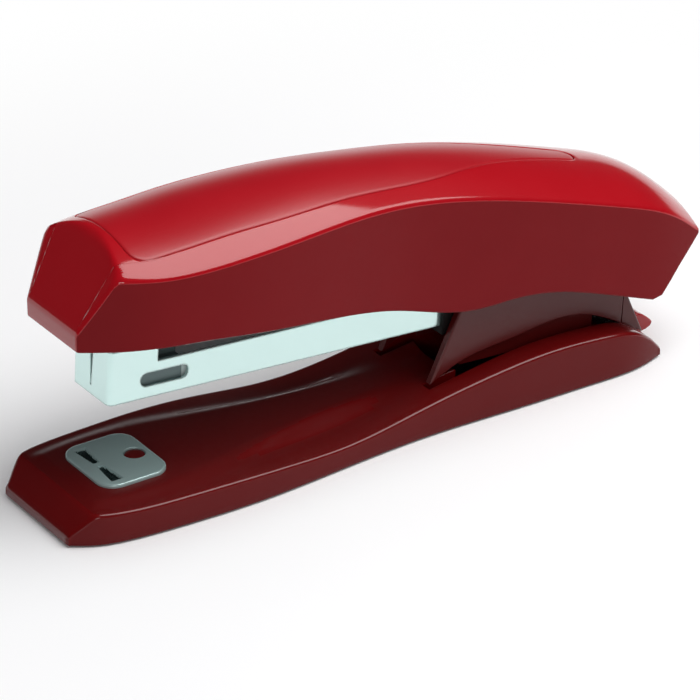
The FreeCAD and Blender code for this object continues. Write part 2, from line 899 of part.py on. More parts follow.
# Black ribbed collar that steadies the magazine in the mouth of the bracket.
collar_front = "dims.web_front - dims.collar_ahead"
collar_stock = [
    block(
        "collar_ring",
        (collar_front, "-dims.bracket_inner + dims.collar_gap", "dims.web_low"),
        ("dims.collar_length", "2 * (dims.bracket_inner - dims.collar_gap)", "dims.collar_height"),
    )
]
for rib in range(3):
    rib_front = f"{collar_front} + dims.rib_start + {rib} * dims.rib_pitch"
    collar_stock.append(
        block(
            f"collar_rib_{rib + 1}",
            (rib_front, "-dims.bracket_inner - dims.rib_reach", "dims.web_low + dims.rib_low"),
            ("dims.rib_thick", "2 * (dims.bracket_inner + dims.rib_reach)", "dims.rib_height"),
        )
    )
collar_bore = block(
    "collar_bore",
    ("-dims.stock_reach", "-dims.mag_half", "dims.mag_bottom"),
    ("dims.stock_reach", "2 * dims.mag_half", "dims.stock_height"),
)
finish(cut("guide_collar", fuse("collar_blank", collar_stock), [collar_bore]), "guide_collar", tilted=True)

# ---------------------------------------------------------------- magazine

magazine = new_body("magazine_channel")
stock = new_sketch(magazine, "YZ_Plane", "magazine_section", "dims.nose_x")
rectangle(
    stock,
    ("-dims.mag_half", "dims.mag_bottom"),
    ("2 * dims.mag_half", "dims.nose_top - dims.mag_bottom"),
)
pad(magazine, stock, "magazine_stock", "dims.mag_rear - dims.nose_x")
edge_fillet(
    magazine,
    "nose_corners",
    "dims.nose_corner",
    lambda edge: is_upright(edge) and edge.BoundBox.XMax < value("dims.nose_x") + 0.1,
)
inside = new_sketch(magazine, "YZ_Plane", "magazine_inside", "dims.nose_x + dims.sheet")
rectangle(
    inside,
    ("-dims.mag_half + dims.sheet", "dims.mag_bottom + dims.sheet"),
    ("2 * (dims.mag_half - dims.sheet)", "dims.nose_top"),
)
pocket(magazine, inside, "magazine_hollow", reverse=True)
step = new_sketch(magazine, "XZ_Plane", "side_step")
rectangle(
    step,
    ("dims.nose_x + dims.nose_length", "dims.mag_bottom + dims.mag_side"),
    ("dims.mag_rear - dims.nose_x", "dims.nose_top - dims.mag_bottom"),
)
pocket(magazine, step, "side_step_cut", symmetric=True)
slit = new_sketch(magazine, "YZ_Plane", "front_slit", "dims.nose_x - dims.over")
polygon(
    slit,
    [
        (-value("dims.slit_foot"), value("dims.mag_bottom + dims.slit_start")),
        (value("dims.slit_foot"), value("dims.mag_bottom + dims.slit_start")),
        (value("dims.slit_half"), value("dims.nose_top + dims.over")),
        (-value("dims.slit_half"), value("dims.nose_top + dims.over")),
    ],
)
pocket(magazine, slit, "front_slit_cut", "dims.over + 2 * dims.sheet", reverse=True)
exit_slot = new_sketch(magazine, "XY_Plane", "exit_slot", "dims.mag_bottom - dims.over")
rectangle(
    exit_slot,
    ("dims.nose_x + dims.sheet", "-dims.mag_half + dims.sheet"),
    ("dims.exit_rear - dims.nose_x - dims.sheet", "2 * (dims.mag_half - dims.sheet)"),
)
pocket(magazine, exit_slot, "exit_slot_cut", "dims.over + 2 * dims.sheet", reverse=True)
window = new_sketch(magazine, "XZ_Plane", "side_window")
rectangle(
    window,
    ("dims.window_x - dims.window_length / 2", "dims.window_z - dims.window_half"),
    ("dims.window_length", "2 * dims.window_half"),
)
pocket(magazine, window, "side_window_cut", symmetric=True)


def is_window_corner(edge):
    """Short edges through the side walls at the ends of the window."""
    box = edge.BoundBox
    middle = value("dims.window_z")
    inside_height = abs(box.ZMin - middle) < value("dims.window_half") + 0.01
    inside_length = abs(box.XMin - value("dims.window_x")) < value("dims.window_length") / 2 + 0.01
    return inside_height and inside_length and box.XLength + box.ZLength < 1e-5 and box.YLength > 0.1


edge_fillet(magazine, "window_ends", "dims.window_half - dims.window_flat", is_window_corner)
rivet_holes = new_sketch(magazine, "XY_Plane", "rivet_holes", "dims.mag_bottom - dims.over")
for along in rivet_x:
    circle(rivet_holes, along, "0", "dims.web_hole")
pocket(magazine, rivet_holes, "rivet_hole_cut", "dims.over + 2 * dims.sheet", reverse=True)
finish(magazine, "magazine_channel", tilted=True)

rail = new_body("magazine_rail")
rail_section = new_sketch(rail, "YZ_Plane", "rail_section", "dims.exit_rear")
rectangle(
    rail_section,
    ("-dims.rail_half", "dims.mag_bottom + dims.sheet"),
    ("2 * dims.rail_half", "dims.rail_top - dims.mag_bottom - dims.sheet"),
)
pad(rail, rail_section, "rail_stock", "dims.rail_rear - dims.exit_rear")
rail_inside = new_sketch(rail, "YZ_Plane", "rail_inside", "dims.exit_rear - dims.over")
rectangle(
    rail_inside,
    ("-dims.rail_half + dims.rail_sheet", "dims.mag_bottom"),
    (
        "2 * (dims.rail_half - dims.rail_sheet)",
        "dims.rail_top - dims.rail_sheet - dims.mag_bottom",
    ),
)
pocket(rail, rail_inside, "rail_hollow", reverse=True)
finish(rail, "magazine_rail", tilted=True)

bridge = block(
    "bridge_plate",
    ("dims.bridge_front", "-dims.mag_half + dims.sheet", "dims.bridge_low"),
    ("dims.bridge_thick", "2 * (dims.mag_half - dims.sheet)", "dims.bridge_height"),
)
bridge_hole = round_bar(
    "bridge_hole",
    ("dims.bridge_front - dims.over", "0", "dims.rod_z"),
    "dims.rod_radius",
    "dims.bridge_thick + 2 * dims.over",
    ALONG_X,
)
finish(cut("front_bridge", bridge, [bridge_hole]), "front_bridge", tilted=True)

rear_block = block(
    "rear_block",
    ("dims.rail_rear", "-dims.mag_half + dims.sheet", "dims.mag_bottom + dims.sheet"),
    ("dims.stop_length", "2 * (dims.mag_half - dims.sheet)", "dims.stop_height"),
)
rear_hole = round_bar(
    "rear_hole",
    ("dims.rail_rear - dims.over", "0", "dims.rod_z"),
    "dims.rod_radius",
    "dims.over + dims.rod_seat",
    ALONG_X,
)
finish(cut("rear_stop", rear_block, [rear_hole]), "rear_stop", tilted=True)

rod_bar = round_bar(
    "rod_bar",
    ("dims.bridge_front", "0", "dims.rod_z"),
    "dims.rod_radius",
    "dims.rail_rear + dims.rod_seat - dims.bridge_front",
    ALONG_X,
)
guide_rod = doc.addObject("Part::Compound", "guide_rod")
guide_rod.Links = [rod_bar]
finish(guide_rod, "guide_rod", tilted=True)

rivets = [
    round_bar(
        f"rivet_{number}",
        (along, "0", "dims.web_low - dims.rivet_root"),
        "dims.web_hole",
        "dims.rivet_length",
    )
    for number, along in enumerate(rivet_x, start=1)
]
rivet_heads = [
    round_bar(
        f"rivet_head_{number}",
        (along, "0", "dims.web_low - dims.rivet_head"),
        "dims.rivet_head_radius",
        "dims.rivet_head",
    )
    for number, along in enumerate(rivet_x, start=1)
]
rivet_group = doc.addObject("Part::Compound", "magazine_rivets")
rivet_group.Links = [
    fuse(f"magazine_rivet_{number}", [shank, head])
    for number, (shank, head) in enumerate(zip(rivets, rivet_heads), start=1)
]
finish(rivet_group, "magazine_rivets", tilted=True)

# ---------------------------------------------------------------- pusher and its spring

pusher_front = "dims.exit_rear + dims.pusher_gap"
saddle_half = "(dims.rail_half + dims.saddle_gap + dims.saddle_sheet)"
saddle = block(
    "pusher_saddle",
    (pusher_front, f"-{saddle_half}", "dims.saddle_low"),
    ("dims.pusher_length", f"2 * {saddle_half}", "dims.saddle_height"),
)
saddle_room = block(
    "saddle_room",
    ("dims.nose_x", "-dims.rail_half - dims.saddle_gap", "dims.mag_bottom"),
    (
        "dims.stock_reach",
        "2 * (dims.rail_half + dims.saddle_gap)",
        "dims.rail_top + dims.saddle_gap - dims.mag_bottom",
    ),
)
block_front = f"{pusher_front} + dims.pusher_length - dims.pusher_block"
pusher_block = block(
    "pusher_block",
    (block_front, "-dims.pusher_half", "dims.rail_top + dims.pusher_gap"),
    ("dims.pusher_block", "2 * dims.pusher_half", "dims.pusher_height"),
)
pusher_hole = round_bar(
    "pusher_hole",
    ("dims.nose_x", "0", "dims.rod_z"),
    "dims.rod_radius + dims.rod_gap",
    "dims.stock_reach",
    ALONG_X,
)
pusher = cut("staple_pusher", fuse("pusher_blank", [saddle, pusher_block]), [saddle_room, pusher_hole])
finish(pusher, "staple_pusher", tilted=True)

coil_start = f"{pusher_front} + dims.pusher_length"
coil_length = f"dims.rail_rear - ({pusher_front} + dims.pusher_length)"
coil = round_bar("pusher_coil", (coil_start, "0", "dims.rod_z"), "dims.spring_outer", coil_length, ALONG_X)
core = round_bar("pusher_core", (coil_start, "0", "dims.rod_z"), "dims.spring_inner", coil_length, ALONG_X)
finish(cut("pusher_spring", coil, [core]), "pusher_spring", tilted=True)

# ---------------------------------------------------------------- handle frame and driver

frame = new_body("handle_frame")
frame_side = new_sketch(frame, "XZ_Plane", "frame_side")
frame_top = value("dims.frame_top")
pin_x, pin_z = value("dims.handle_pin_x"), value("dims.handle_pin_z")
polygon(
    frame_side,
    [
        (value("dims.frame_front"), 29.5),
        (-40.0, 26.4),
        (-20.0, 22.6),
        (pin_x - 2.0, pin_z - 3.6),
        (pin_x + 2.0, pin_z - 3.6),
        (pin_x + 4.2, pin_z),
        (pin_x + 3.6, pin_z + 4.0),
        (-14.0, frame_top),
        (value("dims.frame_front"), frame_top),
    ],
)
frame_outer = "2 * (dims.frame_inner + dims.frame_sheet)"
pad(frame, frame_side, "frame_stock", frame_outer, symmetric=True)
frame_inside = new_sketch(frame, "YZ_Plane", "frame_inside", "dims.frame_front - dims.over")
rectangle(
    frame_inside,
    ("-dims.frame_inner", "dims.handle_pin_z - dims.frame_skirt"),
    ("2 * dims.frame_inner", "dims.frame_top - dims.frame_sheet - dims.handle_pin_z + dims.frame_skirt"),
)
pocket(frame, frame_inside, "frame_hollow", reverse=True)
flange = new_sketch(frame, "YZ_Plane", "front_flange", "dims.flange_front")
rectangle(
    flange,
    ("-dims.driver_half", "dims.flange_low"),
    ("2 * dims.driver_half", "dims.frame_top - dims.flange_low - dims.flange_gap"),
)
pad(frame, flange, "front_flange_pad", "dims.frame_sheet")
pivot = new_sketch(frame, "XZ_Plane", "frame_pivot")
circle(pivot, "dims.handle_pin_x", "dims.handle_pin_z", "dims.pin_radius + dims.pin_clearance")
pocket(frame, pivot, "frame_pivot_hole", symmetric=True)
cover_screw_x = ("dims.cover_screw_front", "dims.cover_screw_rear")
screw_holes = new_sketch(frame, "XY_Plane", "cover_screw_holes", "dims.frame_top - 2 * dims.over")
for along in cover_screw_x:
    circle(screw_holes, along, "0", "dims.cover_screw + dims.cover_screw_gap")
pocket(frame, screw_holes, "cover_screw_hole_cut", "4 * dims.over", reverse=True)
driver_rivet_y = ("-dims.driver_rivet_y", "dims.driver_rivet_y")
flange_holes = new_sketch(frame, "YZ_Plane", "driver_rivet_holes", "dims.flange_front - dims.over")
for across in driver_rivet_y:
    circle(flange_holes, across, "dims.driver_rivet_z", "dims.driver_rivet")
pocket(frame, flange_holes, "driver_rivet_hole_cut", "dims.frame_sheet + 2 * dims.over", reverse=True)
finish(frame, "handle_frame", tilted=True)

driver = new_body("driver_blade")
blade = new_sketch(driver, "YZ_Plane", "blade_outline", "dims.flange_front - dims.driver_thick")
rectangle(
    blade,
    ("-dims.driver_half", "dims.driver_low"),
    ("2 * dims.driver_half", "dims.frame_top - dims.frame_sheet - dims.driver_low"),
)
for across in driver_rivet_y:
    circle(blade, across, "dims.driver_rivet_z", "dims.driver_rivet")
pad(driver, blade, "blade_pad", "dims.driver_thick")
finish(driver, "driver_blade", tilted=True)

driver_rivets = doc.addObject("Part::Compound", "driver_rivets")
driver_rivets.Links = [
    fuse(
        f"driver_rivet_{number}",
        [
            round_bar(
                f"driver_rivet_shank_{number}",
                ("dims.flange_front - dims.driver_thick", across, "dims.driver_rivet_z"),
                "dims.driver_rivet",
                "dims.driver_thick + dims.frame_sheet",
                ALONG_X,
            ),
            round_bar(
                f"driver_rivet_head_{number}",
                ("dims.flange_front + dims.frame_sheet", across, "dims.driver_rivet_z"),
                "dims.driver_rivet_head",
                "dims.driver_thick",
                ALONG_X,
            ),
        ],
    )
    for number, across in enumerate(driver_rivet_y, start=1)
]
finish(driver_rivets, "driver_rivets", tilted=True)

# Leaf spring: its flat end lies under the frame's top, its tail presses on the rear stop.
leaf = new_body("handle_spring")
leaf_side = new_sketch(leaf, "XZ_Plane", "leaf_side")
leaf_top = frame_top - value("dims.frame_sheet")
stop_top = value("dims.mag_bottom + dims.sheet + dims.stop_height")
leaf_thick = value("dims.leaf_thick")
leaf_foot = stop_top + value("dims.leaf_gap")
polygon(
    leaf_side,
    [
        (-44.0, leaf_top),
        (-44.0, leaf_top - leaf_thick),
        (-32.0, leaf_top - leaf_thick),
        (-24.2, leaf_foot),
        (-20.6, leaf_foot),
        (-20.6, leaf_foot + leaf_thick),
        (-23.8, leaf_foot + leaf_thick),
        (-31.7, leaf_top),
    ],
)
pad(leaf, leaf_side, "leaf_pad", "dims.leaf_width", symmetric=True)
leaf_hole = new_sketch(leaf, "XY_Plane", "leaf_slot", "dims.frame_top - 4 * dims.over")
rectangle(
    leaf_hole,
    ("dims.leaf_slot", "-dims.leaf_slot_half"),
    ("dims.leaf_slot_length", "2 * dims.leaf_slot_half"),
)
pocket(leaf, leaf_hole, "leaf_slot_cut", "6 * dims.over", reverse=True)
finish(leaf, "handle_spring", tilted=True)

cover_screws = doc.addObject("Part::Compound", "cover_screws")
cover_screws.Links = [
    fuse(
        f"cover_screw_{number}",
        [
            round_bar(
                f"cover_screw_head_{number}",
                (along, "0", "dims.frame_top - dims.frame_sheet - dims.cover_screw_head"),
                "dims.cover_screw_head_radius",
                "dims.cover_screw_head",
            ),
            round_bar(
                f"cover_screw_shank_{number}",
                (along, "0", "dims.frame_top - dims.frame_sheet - dims.cover_screw_root"),
                "dims.cover_screw",
                "dims.cover_screw_length",
            ),
        ],
    )
    for number, along in enumerate(cover_screw_x, start=1)
]
finish(cover_screws, "cover_screws", tilted=True)

# ---------------------------------------------------------------- cover and its top insert

# Stations along the cover: place, half-width, and height of the crease between side and crown.
COVER_STATIONS = [
    (-77.1, 10.2, 60.7),
    (-69.6, 14.7, 59.9),
    (-62.0, 17.6, 59.1),
    (-52.2, 19.1, 58.75),
    (-41.6, 19.6, 59.0),
    (-30.0, 19.1, 59.2),
    (-14.0, 17.3, 59.1),
    (2.0, 15.65, 57.8),
    (20.0, 15.8, 54.6),
    (40.0, 16.6, 49.1),
    (60.0, 16.9, 42.5),
    (75.8, 16.4, 35.1),
    (82.5, 15.3, 29.6),
]
# Lower edge of the cover, wavy from the lip at the nose to the corner over the base's tail.
COVER_EDGE = [
    (-62.8, 43.1),
    (-50.4, 42.3),
    (-36.6, 40.4),
    (-18.0, 37.4),
    (0.0, 33.1),
    (10.0, 29.7),
    (20.0, 27.5),
    (31.0, 27.4),
    (43.0, 25.7),
    (55.0, 21.7),
    (68.6, 16.5),
]
COVER_TAIL = [(71.2, 16.9), (76.3, 22.9), (82.5, 29.2)]


def crown_loft(inset, drop, low):
    """Solid under the cover's crown: upright sides, and a roof that is an arc at every station."""
    lean = math.radians(value("dims.crown_angle"))
    wires = []
    for x, half, crease in COVER_STATIONS:
        y, z = half - inset, crease - drop
        rise = y * math.tan(lean / 2)
        roof = Part.Arc(Vector(x, -y, z), Vector(x, 0, z + rise), Vector(x, y, z)).toShape()
        edges = [
            roof,
            line((x, y, z), (x, y, low)),
            line((x, y, low), (x, -y, low)),
            line((x, -y, low), (x, -y, z)),
        ]
        wires.append(Part.Wire(edges))
    return Part.makeLoft(wires, True, False)


def cover_side(lip, rake, under):
    """Side view of the cover as a wide solid: lip, raked face, and the outline of its underside."""
    (lip_x, lip_z), (rake_x, rake_z) = lip, rake
    slope = (rake_x - lip_x) / (rake_z - lip_z)
    tail_x = under[-1].Vertexes[-1].X
    tail_z = under[-1].Vertexes[-1].Z
    corners = [
        (tail_x, -STOCK_SIDE, tail_z),
        (tail_x, -STOCK_SIDE, STOCK_TOP),
        (lip_x + slope * (STOCK_TOP - lip_z), -STOCK_SIDE, STOCK_TOP),
        (lip_x, -STOCK_SIDE, lip_z),
        (lip_x, -STOCK_SIDE, under[0].Vertexes[0].Z),
    ]
    edges = list(under)
    for begin, end in zip(corners, corners[1:]):
        edges.append(line(begin, end))
    return prism(edges, Vector(0, 2 * STOCK_SIDE, 0))


def chain(points):
    """Straight edges in the side view through (x, z) points."""
    places = [(x, -STOCK_SIDE, z) for x, z in points]
    return [line(begin, end) for begin, end in zip(places, places[1:])]


def insert_outline(grow, low, high):
    """Upright solid with the plan of the top insert, its border moved out by grow."""
    front = value("dims.insert_front") - grow
    half = value("dims.insert_half") + grow
    corner = value("dims.insert_corner")
    tip = value("dims.insert_tip") + grow
    sides = [
        (front + corner, half, low),
        (-42.0, half + 0.2, low),
        (-26.0, half, low),
        (-10.0, 12.0 + grow, low),
        (6.0, 10.9 + grow, low),
        (16.0, 9.5 + grow, low),
        (25.0, 7.2 + grow, low),
        (36.0, 5.0 + grow, low),
        (54.0, 3.0 + grow, low),
    ]
    edges = []
    for side in (1, -1):
        cut_back = corner * (1 - math.sqrt(0.5))
        bend = Vector(front + cut_back, side * (half - cut_back), low)
        start = Vector(front, side * (half - corner), low)
        end = Vector(front + corner, side * half, low)
        edges.append(Part.Arc(start, bend, end).toShape())
        edges.append(curve_through([(x, side * y, z) for x, y, z in sides]))
    last_x, last_y, _ = sides[-1]
    nose = Part.Arc(Vector(last_x, last_y, low), Vector(tip, 0, low), Vector(last_x, -last_y, low))
    edges.append(nose.toShape())
    edges.append(line((front, half - corner, low), (front, corner - half, low)))
    return prism(edges, Vector(0, 0, high - low))


cover_wall = value("dims.cover_wall")
cover_front = value("dims.cover_front")
lip_top = value("dims.cover_lip_top")
rake = (value("dims.cover_rake_x"), value("dims.cover_rake_z"))
lower_edge = chain([(cover_front, value("dims.cover_lip")), COVER_EDGE[0]])
lower_edge.append(curve_through([(x, -STOCK_SIDE, z) for x, z in COVER_EDGE]))
lower_edge += chain([COVER_EDGE[-1]] + COVER_TAIL)
outer_cover = crown_loft(0.0, 0.0, STOCK_FLOOR).common(cover_side((cover_front, lip_top), rake, lower_edge))

# The inside is open below, and behind the bracket it is open up to the foot of the rear wall.
inner_lip = (cover_front + cover_wall, lip_top)
inner_rake = (rake[0] + value("dims.cover_rake_wall"), rake[1])
wall_foot, wall_head = (75.4, 22.6), (80.4, 28.4)
past_tail = 90.0
inner_under = chain(
    [(inner_lip[0], -STOCK_FLOOR), (past_tail, -STOCK_FLOOR), (past_tail, wall_foot[1]), wall_foot, wall_head]
)
inner_side = cover_side(inner_lip, inner_rake, inner_under)
inner_cover = crown_loft(cover_wall, value("dims.cover_roof"), -2 * STOCK_FLOOR).common(inner_side)
depth = value("dims.insert_depth")
under_insert = crown_loft(0.0, depth, STOCK_FLOOR)
recess = insert_outline(value("dims.insert_gap"), 4 * STOCK_FLOOR, STOCK_TOP).cut(under_insert)
panel = insert_outline(0.0, 4 * STOCK_FLOOR, STOCK_TOP).common(outer_cover).cut(under_insert)

cover_skin = shaped("cover_skin", outer_cover.cut(inner_cover).cut(recess))
finish(shaped("top_insert", panel), "top_insert")

boss_room = shaped("boss_room", outer_cover.cut(recess))
cover_bosses = []
boss_holes = []
for number, along in enumerate(cover_screw_x, start=1):
    boss = round_bar(
        f"cover_boss_{number}",
        (along, "0", "dims.frame_top"),
        "dims.cover_boss",
        "dims.cover_boss_length",
    )
    hole = round_bar(
        f"cover_boss_hole_{number}",
        (along, "0", "dims.frame_top - dims.over"),
        "dims.cover_screw",
        "dims.cover_screw_length + dims.cover_screw_root",
    )
    cover_bosses.append(boss)
    boss_holes.append(hole)
boss_group = fuse("cover_boss_group", cover_bosses)
boss_group.setExpression("Placement", TILTED)
hole_group = fuse("cover_hole_group", boss_holes)
hole_group.setExpression("Placement", TILTED)
cover_solid = fuse("cover_solid", [cover_skin, common("cover_boss_trim", [boss_group, boss_room])])
finish(cut("handle_cover", cover_solid, [hole_group]), "handle_cover")

# ---------------------------------------------------------------- check and write

doc.recompute()
for thing in doc.Objects:
    if any(state in ("Invalid", "Error") for state in thing.State):
        raise ValueError(f"{thing.Label} is {thing.State}")
os.makedirs("parts", exist_ok=True)
for thing in subparts:
    if thing.Shape.isNull() or not thing.Shape.isValid():
        raise ValueError(f"{thing.Label} has no valid shape")
    thing.Shape.exportStep(f"parts/{thing.Label}.step")
    box = thing.Shape.BoundBox
    print(
        f"{thing.Label:18s} solids {len(thing.Shape.Solids)} volume {thing.Shape.Volume:9.1f}"
        f"  x {box.XMin:7.1f} {box.XMax:7.1f}  y {box.YMin:6.1f} {box.YMax:6.1f}"
        f"  z {box.ZMin:6.1f} {box.ZMax:6.1f}"
    )
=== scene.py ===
import math

import bmesh
import bpy
import numpy as np
from mathutils import Matrix, Quaternion, Vector


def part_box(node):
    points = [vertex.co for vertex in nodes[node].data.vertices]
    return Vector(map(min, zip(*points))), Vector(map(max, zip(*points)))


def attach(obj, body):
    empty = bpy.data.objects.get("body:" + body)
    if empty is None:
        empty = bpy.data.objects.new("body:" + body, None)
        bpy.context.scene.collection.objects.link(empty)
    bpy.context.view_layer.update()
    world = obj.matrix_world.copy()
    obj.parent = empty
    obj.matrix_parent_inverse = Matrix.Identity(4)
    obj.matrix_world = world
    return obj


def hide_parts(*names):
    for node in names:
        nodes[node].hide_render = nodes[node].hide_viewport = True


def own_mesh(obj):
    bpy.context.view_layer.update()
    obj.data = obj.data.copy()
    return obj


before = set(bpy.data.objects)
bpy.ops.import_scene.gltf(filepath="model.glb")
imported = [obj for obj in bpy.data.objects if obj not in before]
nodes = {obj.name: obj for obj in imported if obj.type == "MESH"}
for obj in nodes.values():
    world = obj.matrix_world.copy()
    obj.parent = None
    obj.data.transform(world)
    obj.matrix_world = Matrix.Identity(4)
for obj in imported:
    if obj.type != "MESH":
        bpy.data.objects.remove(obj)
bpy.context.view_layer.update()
MM = 0.001
WELD = 2e-6

# Shapes are worked out in millimetres and turned into metres when a mesh is made.


# ---------------------------------------------------------------- curves and loops


def smooth_curve(points):
    """Natural cubic spline through (x, value) points, as a function of x."""
    x, y = (np.array(column, float) for column in zip(*points))
    step = np.diff(x)
    system, right = np.eye(len(x)), np.zeros(len(x))
    for i in range(1, len(x) - 1):
        system[i, i - 1 : i + 2] = step[i - 1], 2 * (step[i - 1] + step[i]), step[i]
        right[i] = 6 * ((y[i + 1] - y[i]) / step[i] - (y[i] - y[i - 1]) / step[i - 1])
    bend = np.linalg.solve(system, right)

    def at(place):
        place = np.clip(place, x[0], x[-1])
        i = np.clip(np.searchsorted(x, place) - 1, 0, len(x) - 2)
        t, h = place - x[i], step[i]
        slope = (y[i + 1] - y[i]) / h - h * (2 * bend[i] + bend[i + 1]) / 6
        return y[i] + t * slope + t**2 * bend[i] / 2 + t**3 * (bend[i + 1] - bend[i]) / (6 * h)

    return at


def soft_min(a, b, blend):
    """The lower of two heights, with the corner between them rounded over."""
    share = np.clip(0.5 + 0.5 * (b - a) / blend, 0, 1)
    return b * (1 - share) + a * share - blend * share * (1 - share)


def corner_arc(before, corner, after, radius, count):
    """Points on the arc that rounds a corner between two straight runs, in plan or side view."""
    before, corner, after = (np.array(p, float) for p in (before, corner, after))
    u = (before - corner) / np.linalg.norm(before - corner)
    v = (after - corner) / np.linalg.norm(after - corner)
    half = math.acos(np.clip(u @ v, -1, 1)) / 2
    reach = radius / math.tan(half)
    centre = corner + (u + v) / np.linalg.norm(u + v) * radius / math.sin(half)
    start, end = corner + u * reach - centre, corner + v * reach - centre
    turn = math.pi - 2 * half
    steps = np.linspace(0, 1, count)
    return [
        tuple(centre + (math.sin((1 - s) * turn) * start + math.sin(s * turn) * end) / math.sin(turn))
        for s in steps
    ]


def resample(points, count):
    """The same open line with points at even distances."""
    points = np.array(points, float)
    along = np.concatenate([[0], np.cumsum(np.linalg.norm(np.diff(points, axis=0), axis=1))])
    places = np.linspace(0, along[-1], count)
    return np.column_stack([np.interp(places, along, points[:, c]) for c in range(points.shape[1])])


def whole_loop(half):
    """Closed plan loop from its half on the far side, which starts and ends on the centre line."""
    half = np.array(half, float)
    return np.concatenate([half, half[-2:0:-1] * [1, -1]])


def outward(loop):
    """Unit normals of a closed plan loop that runs nose, far side, tail, near side."""
    tangent = np.roll(loop, -1, 0) - np.roll(loop, 1, 0)
    normal = np.column_stack([-tangent[:, 1], tangent[:, 0]])
    return normal / np.linalg.norm(normal, axis=1)[:, None]


def raised(plan, height):
    """Plan points at a height, which is one number or one for each point."""
    return np.column_stack([plan, np.broadcast_to(height, len(plan))])


def fillet_rows(start, corner, end, count):
    """Rows of points that turn from start to end around a corner, all given as (K, 3) rows."""
    rows = []
    for s in np.linspace(0, 1, count):
        rows.append((1 - s) ** 2 * start + 2 * s * (1 - s) * corner + s**2 * end)
    return rows


# ---------------------------------------------------------------- meshes


def add_object(name, vertices, faces, body, replaced=(), sharp=None):
    """Mesh object from millimetre coordinates, smooth apart from edges sharper than the angle."""
    mesh = bpy.data.meshes.new(name)
    mesh.from_pydata((np.asarray(vertices, float) * MM).tolist(), [], [tuple(f) for f in faces])
    work = bmesh.new()
    work.from_mesh(mesh)
    bmesh.ops.remove_doubles(work, verts=work.verts, dist=WELD)
    bmesh.ops.recalc_face_normals(work, faces=work.faces)
    for face in work.faces:
        face.smooth = True
    if sharp:
        for edge in work.edges:
            if len(edge.link_faces) == 2 and edge.calc_face_angle(0) > math.radians(sharp):
                edge.smooth = False
    work.to_mesh(mesh)
    work.free()
    piece = bpy.data.objects.new(name, mesh)
    bpy.context.scene.collection.objects.link(piece)
    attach(piece, body)
    if replaced:
        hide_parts(*replaced)
    return piece


def skin(rings):
    """Vertices and quads between neighbouring closed rows of points."""
    count = len(rings[0])
    faces = []
    for r in range(len(rings) - 1):
        for k in range(count):
            n = (k + 1) % count
            a, b = r * count, (r + 1) * count
            faces.append((a + k, a + n, b + n, b + k))
    return np.concatenate(rings), faces


def joined(parts):
    """Several (vertices, faces) pairs as one."""
    vertices, faces, first = [], [], 0
    for points, quads in parts:
        vertices.append(np.asarray(points, float))
        faces += [tuple(first + i for i in face) for face in quads]
        first += len(points)
    return np.concatenate(vertices), faces


def weighted(piece):
    """Shade by the larger faces, so that flat sides stay flat beside their rounded edges."""
    normals = piece.modifiers.new("normals", "WEIGHTED_NORMAL")
    normals.keep_sharp = True


def bevelled(piece, width, segments=3, angle=28):
    """Round every edge that turns by more than the angle."""
    edge = piece.modifiers.new("edges", "BEVEL")
    edge.width = width * MM
    edge.segments = segments
    edge.limit_method = "ANGLE"
    edge.angle_limit = math.radians(angle)
    edge.use_clamp_overlap = True
    weighted(piece)


TILT = math.radians(3.75)
CARRIER_PIN = np.array([64.0, 0.0, 7.5])


def lean(points):
    """Carrier axes to the row frame: lean back by the rest tilt, about the carrier pin."""
    points = np.asarray(points, float)
    x, y, z = points[:, 0], points[:, 1], points[:, 2]
    turned = np.column_stack(
        [x * math.cos(TILT) + z * math.sin(TILT), y, z * math.cos(TILT) - x * math.sin(TILT)]
    )
    return turned + CARRIER_PIN


def slab(outline, low, high):
    """Plate with a side-view outline, from one y to another, as (vertices, faces)."""
    count = len(outline)
    near = [(x, low, z) for x, z in outline]
    far = [(x, high, z) for x, z in outline]
    faces = [tuple(range(count)), tuple(range(2 * count - 1, count - 1, -1))]
    for k in range(count):
        n = (k + 1) % count
        faces.append((k, n, count + n, count + k))
    return np.array(near + far, float), faces


# ---------------------------------------------------------------- cover

cover_half = smooth_curve(
    [
        (-77.1, 10.2), (-69.6, 14.7), (-62.0, 17.6), (-52.2, 19.1), (-41.6, 19.6), (-30.0, 19.1),
        (-14.0, 17.3), (2.0, 15.65), (20.0, 15.8), (40.0, 16.6), (60.0, 16.9), (75.8, 16.4), (82.5, 15.3),
    ]
)
cover_crease = smooth_curve(
    [
        (-77.1, 60.7), (-69.6, 59.9), (-62.0, 59.1), (-52.2, 58.75), (-41.6, 59.0), (-30.0, 59.2),
        (-14.0, 59.1), (2.0, 57.8), (20.0, 54.6), (40.0, 49.1), (60.0, 42.5), (75.8, 35.1), (82.5, 29.6),
    ]
)
cover_hem = smooth_curve(
    [
        (-62.8, 43.1), (-50.4, 42.3), (-36.6, 40.4), (-18.0, 37.4), (0.0, 33.1), (10.0, 29.7),
        (20.0, 27.5), (31.0, 27.4), (43.0, 25.7), (55.0, 21.7), (68.6, 16.5),
    ]
)
COVER_NOSE, COVER_TAIL = -77.1, 82.5
CREASE_LEAN = math.radians(36.6)
LIP_TOP = 47.6
RAKE_REAR, RAKE_TOP = -69.6, 59.9
BLEND_SIDE, BLEND_MIDDLE, BLEND_HALF = 0.7, 1.6, 9.0
RAKE_SLOPE = (RAKE_TOP - LIP_TOP) / (RAKE_REAR - COVER_NOSE)
TAIL_CORNERS = [68.6, 71.2, 76.3]
NOSE_ROUND, TAIL_ROUND = 1.0, 0.9
COVER_WALL, COVER_ROOF = 2.0, 2.8
EDGE_ROUND, MITRE_ROUND, HEM_ROUND = 0.85, 1.25, 0.55
MITRE_FRONT, MITRE_REAR = -76.6, -69.0
COVER_SPINE = (-68.0, 78.0)

